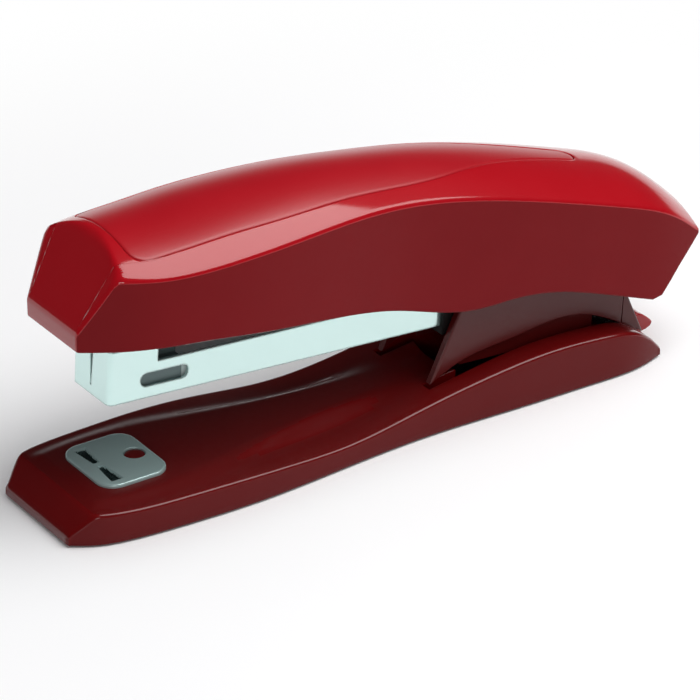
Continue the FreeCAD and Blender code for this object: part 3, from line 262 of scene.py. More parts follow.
INSERT_REAR, INSERT_END = 54.0, 3.0
INSERT_SPINE = (-58.0, INSERT_REAR)
INSERT_DEPTH, INSERT_ROUND, INSERT_SUNK = 1.3, 0.75, 0.04
SEAM_GAP, SEAM_ROUND, FLOOR_GAP = 0.12, 0.28, 0.05


def cover_top(plan):
    """Height of the cover's top: an arched crown, cut off at the nose by the raked face."""
    x, y = plan[:, 0], plan[:, 1]
    radius = cover_half(x) / math.sin(CREASE_LEAN)
    crown = cover_crease(x) - radius * math.cos(CREASE_LEAN) + np.sqrt(np.maximum(radius**2 - y**2, 0))
    softness = BLEND_SIDE + BLEND_MIDDLE * np.clip(1 - np.abs(y) / BLEND_HALF, 0, 1)
    return soft_min(crown, LIP_TOP + RAKE_SLOPE * (x - COVER_NOSE), softness)


def cover_bottom(x):
    """Height of the cover's lower edge."""
    front, rear = -62.8, TAIL_CORNERS[0]
    places = [COVER_NOSE, front, *TAIL_CORNERS, COVER_TAIL]
    ends = np.interp(x, places, [43.3, 43.1, 16.5, 16.9, 22.9, 29.2])
    return np.where((x > front) & (x < rear), cover_hem(x), ends)


def cover_plan():
    """Half of the cover's plan outline, with small round corners at nose and tail."""
    nose_half, tail_half = float(cover_half(COVER_NOSE)), float(cover_half(COVER_TAIL))
    near_nose = (COVER_NOSE + 1.0, float(cover_half(COVER_NOSE + 1.0)))
    near_tail = (COVER_TAIL - 1.0, float(cover_half(COVER_TAIL - 1.0)))
    nose = corner_arc((COVER_NOSE, 0), (COVER_NOSE, nose_half), near_nose, NOSE_ROUND, 9)
    tail = corner_arc(near_tail, (COVER_TAIL, tail_half), (COVER_TAIL, 0), TAIL_ROUND, 9)
    middle = np.concatenate([np.linspace(nose[-1][0], tail[0][0], 148)[1:-1], TAIL_CORNERS])
    side = [(x, float(cover_half(x))) for x in np.sort(middle)]
    return [
        resample([(COVER_NOSE, 0), nose[0]], 14)[:-1],
        np.array(nose),
        np.array(side),
        np.array(tail),
        resample([tail[-1], (COVER_TAIL, 0)], 14)[1:],
    ]


def insert_plan(grow, counts):
    """Half of the top insert's outline, in sections with the given numbers of points."""
    front, half, corner, tip = -64.4 - grow, 13.4 + grow, 4.0, 57.0 + grow
    edge = smooth_curve(
        [
            (front + corner, half), (-42.0, 13.6 + grow), (-26.0, 13.4 + grow),
            (-10.0, 12.0 + grow), (6.0, 10.9 + grow), (16.0, 9.5 + grow),
            (25.0, 7.2 + grow), (36.0, 5.0 + grow), (INSERT_REAR, INSERT_END + grow),
        ]
    )
    turn = np.linspace(0, math.pi / 2, counts[1])
    bend = np.column_stack(
        [front + corner * (1 - np.cos(turn)), half - corner * (1 - np.sin(turn))]
    )
    xs = np.linspace(front + corner, INSERT_REAR, 400)
    side = resample(np.column_stack([xs, edge(xs)]), counts[2] + 2)[1:-1]
    end = INSERT_END + grow
    sweep = np.linspace(0, math.pi / 2, 60)
    round_end = np.column_stack([INSERT_REAR + (tip - INSERT_REAR) * np.sin(sweep), end * np.cos(sweep)])
    round_end = resample(round_end, counts[3] + counts[4])
    return np.concatenate(
        [resample([(front, 0), (front, half - corner)], counts[0] + 1)[:-1], bend, side, round_end]
    )


sections = cover_plan()
section_counts = [len(section) for section in sections]
edge_plan = whole_loop(np.concatenate(sections))
edge_out = outward(edge_plan)
edge_top = cover_top(edge_plan)
edge_low = cover_bottom(edge_plan[:, 0])
seam_plan = whole_loop(insert_plan(SEAM_GAP, section_counts))
seam_out = outward(seam_plan)


def spine(plan, start, end):
    """Each point's partner on the centre line, where rings of a roof close up."""
    return np.column_stack([np.clip(plan[:, 0], start, end), np.zeros(len(plan))])


def roof_rings(plan, centre, height, count, drop=0.0):
    """Rings that close a roof from its outline to its spine, a drop below the height."""
    rings = []
    for s in np.linspace(0, 1, count)[1:]:
        place = plan * (1 - s) + centre * s
        rings.append(raised(place, height(place) - drop))
    return rings


# Edge rounding: wider along the two mitres of the raked nose, and eased into the rest.
on_mitre = (edge_plan[:, 0] < MITRE_REAR) & (edge_plan[:, 0] > MITRE_FRONT)
mitre = np.where(on_mitre, MITRE_ROUND, EDGE_ROUND)
mitre = np.convolve(np.concatenate([mitre[-4:], mitre, mitre[:4]]), np.ones(9) / 9, "valid")
setback = np.minimum(mitre, 0.4 * (edge_top - edge_low))[:, None]
inner_edge = edge_plan - edge_out * setback
rings = roof_rings(seam_plan, spine(seam_plan, *INSERT_SPINE), cover_top, 8, INSERT_DEPTH)[::-1]
rings.append(raised(seam_plan, cover_top(seam_plan) - INSERT_DEPTH))
seam_lip = seam_plan + seam_out * SEAM_ROUND
rings += fillet_rows(
    raised(seam_plan, cover_top(seam_plan) - SEAM_ROUND),
    raised(seam_plan, cover_top(seam_plan)),
    raised(seam_lip, cover_top(seam_lip)),
    4,
)
for s in np.linspace(0, 1, 30)[1:-1]:
    place = seam_lip * (1 - s) + inner_edge * s
    rings.append(raised(place, cover_top(place)))
rings += fillet_rows(
    raised(inner_edge, cover_top(inner_edge)),
    raised(edge_plan, edge_top),
    raised(edge_plan, edge_top - setback[:, 0]),
    7,
)
hem = np.minimum(HEM_ROUND, 0.3 * (edge_top - edge_low))
wall_top = edge_top - setback[:, 0]
for s in (0.3, 0.65):
    rings.append(raised(edge_plan, wall_top * (1 - s) + (edge_low + hem) * s))
rings += fillet_rows(
    raised(edge_plan, edge_low + hem),
    raised(edge_plan, edge_low),
    raised(edge_plan - edge_out * hem[:, None], edge_low),
    4,
)
inside = edge_plan - edge_out * COVER_WALL
rings += fillet_rows(
    raised(inside + edge_out * hem[:, None], edge_low),
    raised(inside, edge_low),
    raised(inside, edge_low + hem),
    4,
)
inside_top = np.maximum(cover_top(inside) - COVER_ROOF, edge_low + hem + 0.1)
rings.append(raised(inside, inside_top))
rings += roof_rings(inside, spine(inside, *COVER_SPINE), cover_top, 9, COVER_ROOF)

# Rear wall: a sloping plate between the sides, behind the bracket.
REAR_HALF = 14.4
rear_outline = [(76.3, 22.95), (82.3, 29.1), (81.6, 30.2), (80.2, 29.6), (75.3, 23.4)]
rear_wall = slab(rear_outline, -REAR_HALF, REAR_HALF)
cover = add_object("cover_shell", *skin(rings), "handle", ["handle_cover"])
weighted(cover)
cover_rear = add_object("cover_rear_wall", *rear_wall, "handle", sharp=30)
bevelled(cover_rear, 0.4)

# ---------------------------------------------------------------- top insert

insert_edge = whole_loop(insert_plan(0.0, section_counts))
insert_out = outward(insert_edge)
insert_inner = insert_edge - insert_out * INSERT_ROUND
insert_foot = INSERT_DEPTH - FLOOR_GAP
rings = roof_rings(insert_edge, spine(insert_edge, *INSERT_SPINE), cover_top, 6, insert_foot)[::-1]
rings.append(raised(insert_edge, cover_top(insert_edge) - INSERT_DEPTH + FLOOR_GAP))
rings += fillet_rows(
    raised(insert_edge, cover_top(insert_edge) - 0.5),
    raised(insert_edge, cover_top(insert_edge) - INSERT_SUNK),
    raised(insert_inner, cover_top(insert_inner) - INSERT_SUNK),
    6,
)
rings += roof_rings(insert_inner, spine(insert_inner, *INSERT_SPINE), cover_top, 24, INSERT_SUNK)
insert = add_object("top_inlay", *skin(rings), "handle", ["top_insert"])
weighted(insert)

# ---------------------------------------------------------------- base

base_half = smooth_curve(
    [
        (-82.5, 12.6), (-77.0, 16.2), (-71.0, 18.0), (-58.0, 19.3), (-37.0, 19.7), (-14.4, 17.9),
        (8.8, 16.5), (31.0, 17.1), (54.0, 17.5), (66.0, 16.8), (72.9, 14.6),
    ]
)
base_edge = smooth_curve(
    [
        (-77.3, 7.7), (-66.0, 7.3), (-48.0, 7.1), (-30.0, 6.3), (-14.0, 5.5), (4.0, 7.3),
        (22.0, 10.2), (40.0, 12.0), (55.0, 11.4), (64.0, 9.6), (70.6, 4.9), (72.9, 2.4),
    ]
)
tongue_half = smooth_curve(
    [(-74.0, 12.4), (-62.0, 13.6), (-43.0, 10.8), (-22.5, 6.9), (-5.0, 5.0), (10.0, 4.4)]
)
BASE_NOSE, BASE_TAIL, BASE_LIP, BASE_DECK = -82.5, 72.9, 2.6, 8.3
SLOT_FRONT, SLOT_REAR, SLOT_HALF = 11.5, 69.6, 10.9
# The apron is the part of the top that runs on between the bracket's cheeks, up to its web.
APRON_REAR, APRON_HALF, SLOT_LIP = 20.3, 8.2, 0.4
BASE_ROUND = 1.1
RIM_FRONT, RIM_HEIGHT, RAKE_RUN, RAKE_BLEND, RISE_RUN = -77.3, 7.7, 5.2, 1.2, 3.6
SHOULDER_EDGE, SHOULDER_LEAST, SHOULDER_MOST, SHOULDER_START = 0.8, 3.0, 6.5, 1.2
NOTCH_FRONT, NOTCH_HALF, NOTCH_FLOOR = 66, 6.25, 1.9
NOTCH_SIDES = [6.1, 6.4]
BASE_WALL, BASE_FOOT, WALL_START, SLOT_FLOOR = 2.0, 0.3, 0.6, 2.0


def base_top(plan):
    """Height of the base's upper side: rim, raised tongue with soft shoulders, raked nose."""
    x, y = plan[:, 0], np.abs(plan[:, 1])
    rim = base_edge(x)
    width = np.clip(base_half(x) - tongue_half(x) - SHOULDER_EDGE, SHOULDER_LEAST, SHOULDER_MOST)
    past = np.clip((y - tongue_half(x) + SHOULDER_START) / width, 0, 1)
    rise = np.clip((x - RIM_FRONT) / RISE_RUN, 0, 1)
    height = (BASE_DECK - rim) * (0.5 + 0.5 * np.cos(math.pi * past)) * rise * rise * (3 - 2 * rise)
    top = rim + height
    rake = BASE_LIP + (x - BASE_NOSE) * (RIM_HEIGHT - BASE_LIP) / RAKE_RUN
    top = soft_min(top, rake, RAKE_BLEND)
    notch = (x > NOTCH_FRONT) & (y < NOTCH_HALF)
    return np.where(notch, np.minimum(top, NOTCH_FLOOR), top)


def base_lines(x):
    """Across positions of the mesh at one station, on the far half."""
    edge = float(base_half(x)) - BASE_ROUND
    turn = min(float(tongue_half(x)), edge - 3.6)
    free = np.concatenate(
        [
            np.linspace(0, turn - 1.3, 9)[:-1],
            np.linspace(turn - 1.3, turn + 2.8, 15)[:-1],
            np.linspace(turn + 2.8, edge, 8),
        ]
    )
    slot = np.concatenate(
        [
            np.linspace(0, NOTCH_SIDES[0], 7)[:-1],
            NOTCH_SIDES,
            [APRON_HALF - SLOT_LIP],
            np.linspace(APRON_HALF - SLOT_LIP, SLOT_HALF + SLOT_LIP, 5)[1:],
            np.linspace(SLOT_HALF + SLOT_LIP, edge, 18)[1:],
        ]
    )
    share = np.clip(x / (SLOT_FRONT - SLOT_LIP), 0, 1)
    share = share * share * (3 - 2 * share)
    return free * (1 - share) + slot * share


stations = np.concatenate(
    [
        np.linspace(BASE_NOSE + BASE_ROUND, BASE_NOSE + BASE_ROUND + 0.5, 3)[:-1],
        np.linspace(BASE_NOSE + BASE_ROUND + 0.5, -72.0, 24)[:-1],
        np.linspace(-72.0, SLOT_FRONT - SLOT_LIP, 78)[:-1],
        np.linspace(SLOT_FRONT - SLOT_LIP, APRON_REAR - SLOT_LIP, 10)[:-1],
        np.linspace(APRON_REAR - SLOT_LIP, SLOT_REAR + SLOT_LIP, 44)[:-1],
        np.linspace(SLOT_REAR + SLOT_LIP, BASE_TAIL - BASE_ROUND, 7),
    ]
)
rows = []
for x in stations:
    across = base_lines(x)
    across = np.concatenate([-across[:0:-1], across])
    rows.append(np.column_stack([np.full(len(across), x), across]))
grid = np.array(rows)
deep, wide = grid.shape[:2]
heights = base_top(grid.reshape(-1, 2))
deck = np.column_stack([grid.reshape(-1, 2), heights])
middle = wide // 2
slot_line, apron_line = 12, 8
slot_start, apron_stop, slot_stop = SLOT_FRONT - SLOT_LIP, APRON_REAR - SLOT_LIP, SLOT_REAR + SLOT_LIP
deck_faces = []
for i in range(deep - 1):
    for j in range(wide - 1):
        centre_x = (stations[i] + stations[i + 1]) / 2
        in_slot = slot_start < centre_x < slot_stop and middle - slot_line <= j < middle + slot_line
        on_apron = centre_x < apron_stop and middle - apron_line <= j < middle + apron_line
        if on_apron or not in_slot:
            near, far = i * wide + j, (i + 1) * wide + j
            deck_faces.append((near, near + 1, far + 1, far))

border = (
    [(0, j) for j in range(middle, wide)]
    + [(i, wide - 1) for i in range(1, deep)]
    + [(deep - 1, j) for j in range(wide - 2, -1, -1)]
    + [(i, 0) for i in range(deep - 2, -1, -1)]
    + [(0, j) for j in range(1, middle)]
)
border_plan = np.array([grid[i, j] for i, j in border])
border_out = outward(border_plan)
for k, (i, j) in enumerate(border):
    if i in (0, deep - 1) and j in (0, wide - 1):
        border_out[k] = np.array([-1 if i == 0 else 1, -1 if j == 0 else 1]) * 0.85
    elif i in (0, deep - 1):
        border_out[k] = [-1 if i == 0 else 1, 0]
outer_plan = border_plan + border_out * BASE_ROUND
outer_top = base_top(outer_plan)
drop = np.minimum(BASE_ROUND, 0.4 * (outer_top - BASE_FOOT))
wall_rings = fillet_rows(
    raised(border_plan, base_top(border_plan)),
    raised(outer_plan, outer_top),
    raised(outer_plan, outer_top - drop),
    6,
)
for s in (0.35, 0.7):
    wall_rings.append(raised(outer_plan, (outer_top - drop) * (1 - s) + WALL_START * s))
wall_rings.append(raised(outer_plan, np.minimum(WALL_START, outer_top - drop)))
wall_rings.append(raised(outer_plan - border_out * BASE_FOOT, BASE_FOOT))
wall_inside = outer_plan - border_out * BASE_WALL
wall_rings.append(raised(wall_inside, BASE_FOOT))
wall_rings.append(raised(wall_inside, np.minimum(2.2, outer_top - 0.5)))

first_slot, apron_end, last_slot = (
    int(np.argmin(np.abs(stations - x)))
    for x in (slot_start, apron_stop, slot_stop)
)
left, right = middle - slot_line, middle + slot_line
apron_left, apron_right = middle - apron_line, middle + apron_line
slot_loop = (
    [(first_slot, j) for j in range(left, apron_left + 1)]
    + [(i, apron_left) for i in range(first_slot + 1, apron_end + 1)]
    + [(apron_end, j) for j in range(apron_left + 1, apron_right + 1)]
    + [(i, apron_right) for i in range(apron_end - 1, first_slot - 1, -1)]
    + [(first_slot, j) for j in range(apron_right + 1, right + 1)]
    + [(i, right) for i in range(first_slot + 1, last_slot + 1)]
    + [(last_slot, j) for j in range(right - 1, left - 1, -1)]
    + [(i, left) for i in range(last_slot - 1, first_slot, -1)]
)
slot_plan = np.array([grid[i, j] for i, j in slot_loop])
incoming = slot_plan - np.roll(slot_plan, 1, 0)
outgoing = np.roll(slot_plan, -1, 0) - slot_plan
for run in (incoming, outgoing):
    run /= np.linalg.norm(run, axis=1)[:, None]
turned = np.abs(np.sum(incoming * outgoing, axis=1)) < 0.5
into = np.column_stack([outgoing[:, 1], -outgoing[:, 0]])
into[turned] += np.column_stack([incoming[:, 1], -incoming[:, 0]])[turned]
slot_edge = slot_plan + into * SLOT_LIP
slot_rings = fillet_rows(
    raised(slot_plan, base_top(slot_plan)),
    raised(slot_edge, base_top(slot_plan)),
    raised(slot_edge, base_top(slot_plan) - SLOT_LIP),
    4,
)
slot_rings.append(raised(slot_edge, np.minimum(SLOT_FLOOR, base_top(slot_plan) - 0.5)))

# Locating boss that shows in the anvil's hole.
spin = np.linspace(0, 2 * math.pi, 49)[:-1]
HOLE_X, HOLE_RADIUS, HOLE_LIP = -57.9, 2.4, 2.65
boss_rings = []
for radius, height in ((2.25, 7.8), (2.25, 8.65), (2.17, 8.8), (2.0, 8.88), (1.2, 8.93), (0.0, 8.94)):
    ring = np.column_stack([HOLE_X + radius * np.cos(spin), radius * np.sin(spin)])
    boss_rings.append(raised(ring, height))
base = add_object(
    "base_housing",
    *joined([(deck, deck_faces), skin(wall_rings), skin(slot_rings), skin(boss_rings)]),
    "base",
    ["base_shell"],
    sharp=50,
)
weighted(base)

# ---------------------------------------------------------------- anvil

ANVIL_TOP, ANVIL_EDGE, ANVIL_SINK = 9.2, 0.5, 0.1
SCOOP_X, SCOOP_START, SCOOP_LENGTH, SCOOP_DEPTH = -66.9, 0.7, 7.2, 0.8
SCOOP_HALF, SCOOP_SPREAD, SCOOP_SIDE, SCOOP_END = 0.75, 0.75, 0.35, 0.5
anvil_low, anvil_high, anvil_side, anvil_round = -70.9, -54.3, 10.0, 4.2
front_bend = corner_arc((anvil_low, 0), (anvil_low, anvil_side), (anvil_high, anvil_side), anvil_round, 26)
rear_bend = corner_arc((anvil_low, anvil_side), (anvil_high, anvil_side), (anvil_high, 0), anvil_round, 26)
anvil_half = np.concatenate(
    [
        resample([(anvil_low, 0), front_bend[0]], 26)[:-1],
        front_bend,
        resample([front_bend[-1], rear_bend[0]], 26)[1:-1],
        rear_bend,
        resample([rear_bend[-1], (anvil_high, 0)], 26)[1:],
    ]
)
anvil_plan = whole_loop(anvil_half)
anvil_out = outward(anvil_plan)
angle = np.arctan2(anvil_plan[:, 1], anvil_plan[:, 0] - HOLE_X)
hole_plan, hole_lip = (
    np.column_stack([HOLE_X + radius * np.cos(angle), radius * np.sin(angle)])
    for radius in (HOLE_RADIUS, HOLE_LIP)
)


def anvil_surface(plan):
    """Anvil top with its two clinching scoops, which widen away from the middle."""
    x, y = plan[:, 0], np.abs(plan[:, 1])
    along = (y - SCOOP_START) / SCOOP_LENGTH
    half = SCOOP_HALF + SCOOP_SPREAD * np.clip(along, 0, 1)
    across = np.abs(x - SCOOP_X) / half
    end = 1 - np.clip(2 * np.abs(along - 0.5), 0, 1) ** 6
    depth = np.clip((1 - across) / SCOOP_SIDE, 0, 1) * np.clip(end / SCOOP_END, 0, 1)
    return ANVIL_TOP - SCOOP_DEPTH * depth * (2 - depth)


anvil_inner = anvil_plan - anvil_out * ANVIL_EDGE
rings = [raised(anvil_plan, BASE_DECK - ANVIL_SINK)]
rings += fillet_rows(
    raised(anvil_plan, ANVIL_TOP - ANVIL_EDGE),
    raised(anvil_plan, ANVIL_TOP),
    raised(anvil_inner, ANVIL_TOP),
    5,
)
for s in np.linspace(0, 1, 84)[1:-1]:
    place = anvil_inner * (1 - s) + hole_lip * s
    rings.append(raised(place, anvil_surface(place)))
rings += fillet_rows(
    raised(hole_lip, ANVIL_TOP), raised(hole_plan, ANVIL_TOP), raised(hole_plan, ANVIL_TOP - 0.25), 4
)
rings.append(raised(hole_plan, BASE_DECK - ANVIL_SINK))
anvil = add_object("anvil_top", *skin(rings), "base", ["anvil_plate"], sharp=38)
weighted(anvil)

# ---------------------------------------------------------------- staple remover tongue

tongue_outline = [
    (60.0, 2.0), (72.4, 2.0), (75.4, 2.4), (76.8, 3.0), (77.25, 3.9), (76.7, 4.6), (75.6, 5.6),
    (74.4, 6.5), (73.2, 7.1), (72.3, 7.1), (71.8, 6.6), (71.7, 5.4), (71.6, 4.2), (60.0, 3.4),
]
TONGUE_HALF = 6.0
tongue_slab = slab(tongue_outline, -TONGUE_HALF, TONGUE_HALF)
tongue = add_object("remover_lip", *tongue_slab, "base", ["remover_tongue"], sharp=30)
bevelled(tongue, 0.45, 4, 35)

# ---------------------------------------------------------------- bracket and rear cap

arch = smooth_curve(
    [(-52.0, -1.8), (-45.6, 1.6), (-30.3, 4.8), (-17.8, 6.8), (-9.0, 5.8), (-1.0, 2.4), (7.2, -1.9)]
)
SEAM, SEAM_WIDTH = 0.6, 0.12
CHEEK_INSIDE, CHEEK_OUTSIDE = 8.6, 10.4
SKIRT_INSIDE, SKIRT_TOP = 7.8, 9.1
FRONT_LOW, FRONT_HIGH = (-52.0, -1.8), (-42.0, 22.6)
CHEEK_REAR, CHEEK_BACK = (-1.6, 15.2), (-16.0, 26.2)
NEAR = 1e-5


def line_at(x, start, end):
    """Height at x of the straight line through two side-view points."""
    return start[1] + (x - start[0]) * (end[1] - start[1]) / (end[0] - start[0])


lower = [(x, float(arch(x))) for x in np.linspace(FRONT_LOW[0], SEAM, 46)]
seam_high = line_at(SEAM, (2.2, 7.8), CHEEK_REAR)
lug = corner_arc(CHEEK_REAR, (-4.6, 28.2), CHEEK_BACK, 4.5, 12)
cheek_outline = lower + [(SEAM, seam_high), CHEEK_REAR] + lug + [CHEEK_BACK, FRONT_HIGH]
cheeks = []
for low, high in ((-CHEEK_OUTSIDE, -CHEEK_INSIDE), (CHEEK_INSIDE, CHEEK_OUTSIDE)):
    cheeks.append(slab(cheek_outline, low, high))
web_outline = [(-43.0, 8.8), (-1.5, 8.8), (-1.5, 10.55), (-43.0, 10.55)]
cheeks.append(slab(web_outline, -8.7, 8.7))

# Thin skirt under the web, inside each cheek.
skirt_outline = [(-43.0, 0.3), (-6.5, 0.3), (-6.5, SKIRT_TOP), (-43.0, SKIRT_TOP)]
for low, high in ((-CHEEK_INSIDE, -SKIRT_INSIDE), (SKIRT_INSIDE, CHEEK_INSIDE)):
    cheeks.append(slab(skirt_outline, low, high))
points, faces = joined(cheeks)
bracket = add_object("bracket_body", lean(points), faces, "carrier", ["bracket"], sharp=30)
bracket.data.attributes.new("bevel_weight_edge", "FLOAT", "EDGE")
weights = bracket.data.attributes["bevel_weight_edge"].data

# The cheeks' outer front edges are rounded most, every other edge a little.
front_ends = [Vector(lean([(x, 0, z)])[0] * MM) for x, z in (FRONT_LOW, FRONT_HIGH)]
for edge in bracket.data.edges:
    a, b = (bracket.data.vertices[v].co for v in edge.vertices)
    if abs(a.y - b.y) > NEAR:
        continue
    outer = abs(abs(a.y) - CHEEK_OUTSIDE * MM) < NEAR
    ends = [min((Vector((p.x, 0, p.z)) - q).length for q in front_ends) for p in (a, b)]
    at_front = max(ends) < NEAR
    weights[edge.index].value = 1.0 if outer and at_front else 0.26
front_round = bracket.modifiers.new("edges", "BEVEL")
front_round.width = 1.7 * MM
front_round.segments = 5
front_round.limit_method = "WEIGHT"
weighted(bracket)

cap_outline = [(x, float(arch(x))) for x in np.linspace(SEAM + SEAM_WIDTH, 7.2, 9)]
cap_outline += [(4.7, 2.95), (2.2, 7.8), (SEAM + SEAM_WIDTH, seam_high - 0.1)]
points, faces = slab(cap_outline, -CHEEK_OUTSIDE, CHEEK_OUTSIDE)
cap = add_object("bracket_cap", lean(points), faces, "carrier", ["bracket_rear_cap"], sharp=30)
cap.data.attributes.new("bevel_weight_edge", "FLOAT", "EDGE")
weights = cap.data.attributes["bevel_weight_edge"].data
rear_points = [(7.2, -1.9), (4.7, 2.95), (2.2, 7.8), (SEAM + SEAM_WIDTH, seam_high - 0.1)]
rear_line = lean([(x, 0, z) for x, z in rear_points]) * MM
for edge in cap.data.edges:
    a, b = (cap.data.vertices[v].co for v in edge.vertices)
    near = [min(np.hypot(q[0] - p.x, q[2] - p.z) for q in rear_line) < 2e-5 for p in (a, b)]
    lengthwise = abs(a.y - b.y) < NEAR
    weights[edge.index].value = 1.0 if all(near) and lengthwise else 0.12
cap_round = cap.modifiers.new("edges", "BEVEL")
cap_round.width = 2.3 * MM
cap_round.segments = 6
cap_round.limit_method = "WEIGHT"
weighted(cap)

# ---------------------------------------------------------------- springs


def helix(name, start, end, radius, wire, turns, body, replaced, around=12, cross=8):
    """Round wire wound between two points. The radius is that of the wire's middle."""
    start, end = np.array(start, float), np.array(end, float)
    length = np.linalg.norm(end - start)
    axis = (end - start) / length
    side = np.cross(axis, [0, 1, 0])
    side /= np.linalg.norm(side)
    up = np.cross(axis, side)
    rows = []
    count = int(turns * around)
    for k in range(count + 1):
        turn = 2 * math.pi * k / around
        radial = math.cos(turn) * side + math.sin(turn) * up
        centre = start + (end - start) * (wire + (length - 2 * wire) * k / count) / length
        ring = [
            centre + radial * (radius + wire / 2 * math.cos(c)) + axis * wire / 2 * math.sin(c)
            for c in np.linspace(0, 2 * math.pi, cross + 1)[:-1]
        ]
        rows.append(np.array(ring))
    points, faces = skin(rows)
    faces += [tuple(range(cross)), tuple(range(len(points) - 1, len(points) - cross - 1, -1))]
    return add_object(name, points, faces, body, replaced)


ROD_FRONT, ROD_REAR, ROD_HEIGHT = -114.9, -24.0, 19.6
rod = lean([(ROD_FRONT, 0, ROD_HEIGHT), (ROD_REAR, 0, ROD_HEIGHT)])
feed_spring = helix(
    "feed_spring", *rod, radius=1.5, wire=0.38, turns=44, body="carrier", replaced=["pusher_spring"]
)
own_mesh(feed_spring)
lift_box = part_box("lift_spring")
lift_x = (lift_box[0].x + lift_box[1].x) / 2 / MM
lift_low, lift_high = lift_box[0].z / MM, lift_box[1].z / MM
lift_foot, lift_head = (lift_x, 0, lift_low), (lift_x, 0, lift_high)
lifter = helix(
    "lift_coil", lift_foot, lift_head, radius=3.95, wire=0.85, turns=5.5, body="base",
    replaced=["lift_spring"], around=24, cross=10,
)
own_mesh(lifter)

# Leaf that lifts the handle: its foot is drawn as far above the stop as the handle can be pressed.
LEAF_TOP, LEAF_FOOT, LEAF_THICK, LEAF_HALF = 34.3, 22.65, 0.5, 3.5
leaf_outline = [
    (-44.0, LEAF_TOP), (-44.0, LEAF_TOP - LEAF_THICK), (-32.0, LEAF_TOP - LEAF_THICK),
    (-24.2, LEAF_FOOT), (-20.6, LEAF_FOOT), (-20.6, LEAF_FOOT + LEAF_THICK),
    (-23.8, LEAF_FOOT + LEAF_THICK), (-31.7, LEAF_TOP),
]
points, faces = slab(leaf_outline, -LEAF_HALF, LEAF_HALF)
leaf = add_object("leaf_strip", lean(points), faces, "handle", ["handle_spring"], sharp=30)
bevelled(leaf, 0.12, 2)

# ---------------------------------------------------------------- materials


def linear(red, green, blue):
    """Scene-linear colour from 0 to 255 display values."""
    out = []
    for level in (red, green, blue):
        level /= 255
        out.append(level / 12.92 if level <= 0.04045 else ((level + 0.055) / 1.055) ** 2.4)
    return out


def surface(
    name, colour, rough, metal=0.0, coat=0.0, coat_rough=0.08, uneven=0.10, mottle=90.0,
    grain=900.0, bump=0.000008, soften=0.0, spread=0.05, specular=0.5,
):
    """Painted, moulded or plated surface: slow colour drift, uneven gloss, fine relief."""
    material = bpy.data.materials.new(name)
    material.use_nodes = True
    tree = material.node_tree
    shader = tree.nodes["Principled BSDF"]
    make, link = tree.nodes.new, tree.links.new
    place = make("ShaderNodeTexCoord")
    slow = make("ShaderNodeTexNoise")
    slow.inputs["Scale"].default_value = mottle
    slow.inputs["Detail"].default_value = 3.0
    fine = make("ShaderNodeTexNoise")
    fine.inputs["Scale"].default_value = grain
    fine.inputs["Detail"].default_value = 4.0
    link(place.outputs["Object"], slow.inputs["Vector"])
    link(place.outputs["Object"], fine.inputs["Vector"])
    drift = make("ShaderNodeMix")
    drift.data_type = "RGBA"
    base = linear(*colour)
    drift.inputs["A"].default_value = [max(c * (1 - uneven), 0) for c in base] + [1]
    drift.inputs["B"].default_value = [min(c * (1 + uneven) + 0.002, 1) for c in base] + [1]
    link(slow.outputs["Fac"], drift.inputs["Factor"])
    link(drift.outputs["Result"], shader.inputs["Base Color"])
    gloss = make("ShaderNodeMapRange")
    gloss.inputs["From Min"].default_value = 0.3
    gloss.inputs["From Max"].default_value = 0.7
    gloss.inputs["To Min"].default_value = max(rough - spread, 0.02)
    gloss.inputs["To Max"].default_value = rough + spread
    link(fine.outputs["Fac"], gloss.inputs["Value"])
    link(gloss.outputs["Result"], shader.inputs["Roughness"])
    relief = make("ShaderNodeBump")
    relief.inputs["Strength"].default_value = 0.5
    relief.inputs["Distance"].default_value = bump
    link(fine.outputs["Fac"], relief.inputs["Height"])
    if soften:
        edge = make("ShaderNodeBevel")
        edge.samples = 4
        edge.inputs["Radius"].default_value = soften * MM
        link(edge.outputs["Normal"], relief.inputs["Normal"])
    link(relief.outputs["Normal"], shader.inputs["Normal"])
    shader.inputs["Metallic"].default_value = metal
    shader.inputs["Coat Weight"].default_value = coat
    shader.inputs["Coat Roughness"].default_value = coat_rough
    shader.inputs["Specular IOR Level"].default_value = specular
    return material


enamel = surface(
    "cover_gloss", (172, 3, 20), 0.4, coat=1.0, coat_rough=0.07, uneven=0.04, spread=0.03, specular=0.08
)
# Cover sides: the cover's red painted darker, as painted shade where the sides face away from the overhead
# light; no coat, a real satin finish.
side_red_painted_shade = surface("cover_side", (128, 9, 18), 0.45, uneven=0.05, spread=0.04, specular=0.16)
inlay_red = surface(
    "insert_satin", (170, 4, 22), 0.33, coat=0.6, coat_rough=0.3, uneven=0.05, grain=2600, specular=0.25
)
# Base: red painted much darker than the cover's, as painted shade under the cover and magazine; the glossy
# coat is real.
base_red = surface(
    "base_gloss", (104, 1, 3), 0.4, coat=0.9, coat_rough=0.1, uneven=0.06, spread=0.03, specular=0.08
)
# Upward faces of the base: darker still, as painted shade under the cover; the rough thin coat is real.
base_deck = surface("base_deck", (92, 2, 3), 0.42, coat=0.22, coat_rough=0.34, uneven=0.06, specular=0.12)
# Side walls of the base: a real thinner coat, on the base's darker red of painted shade.
base_side = surface("base_side", (104, 7, 10), 0.42, coat=0.1, coat_rough=0.15, uneven=0.06, specular=0.16)
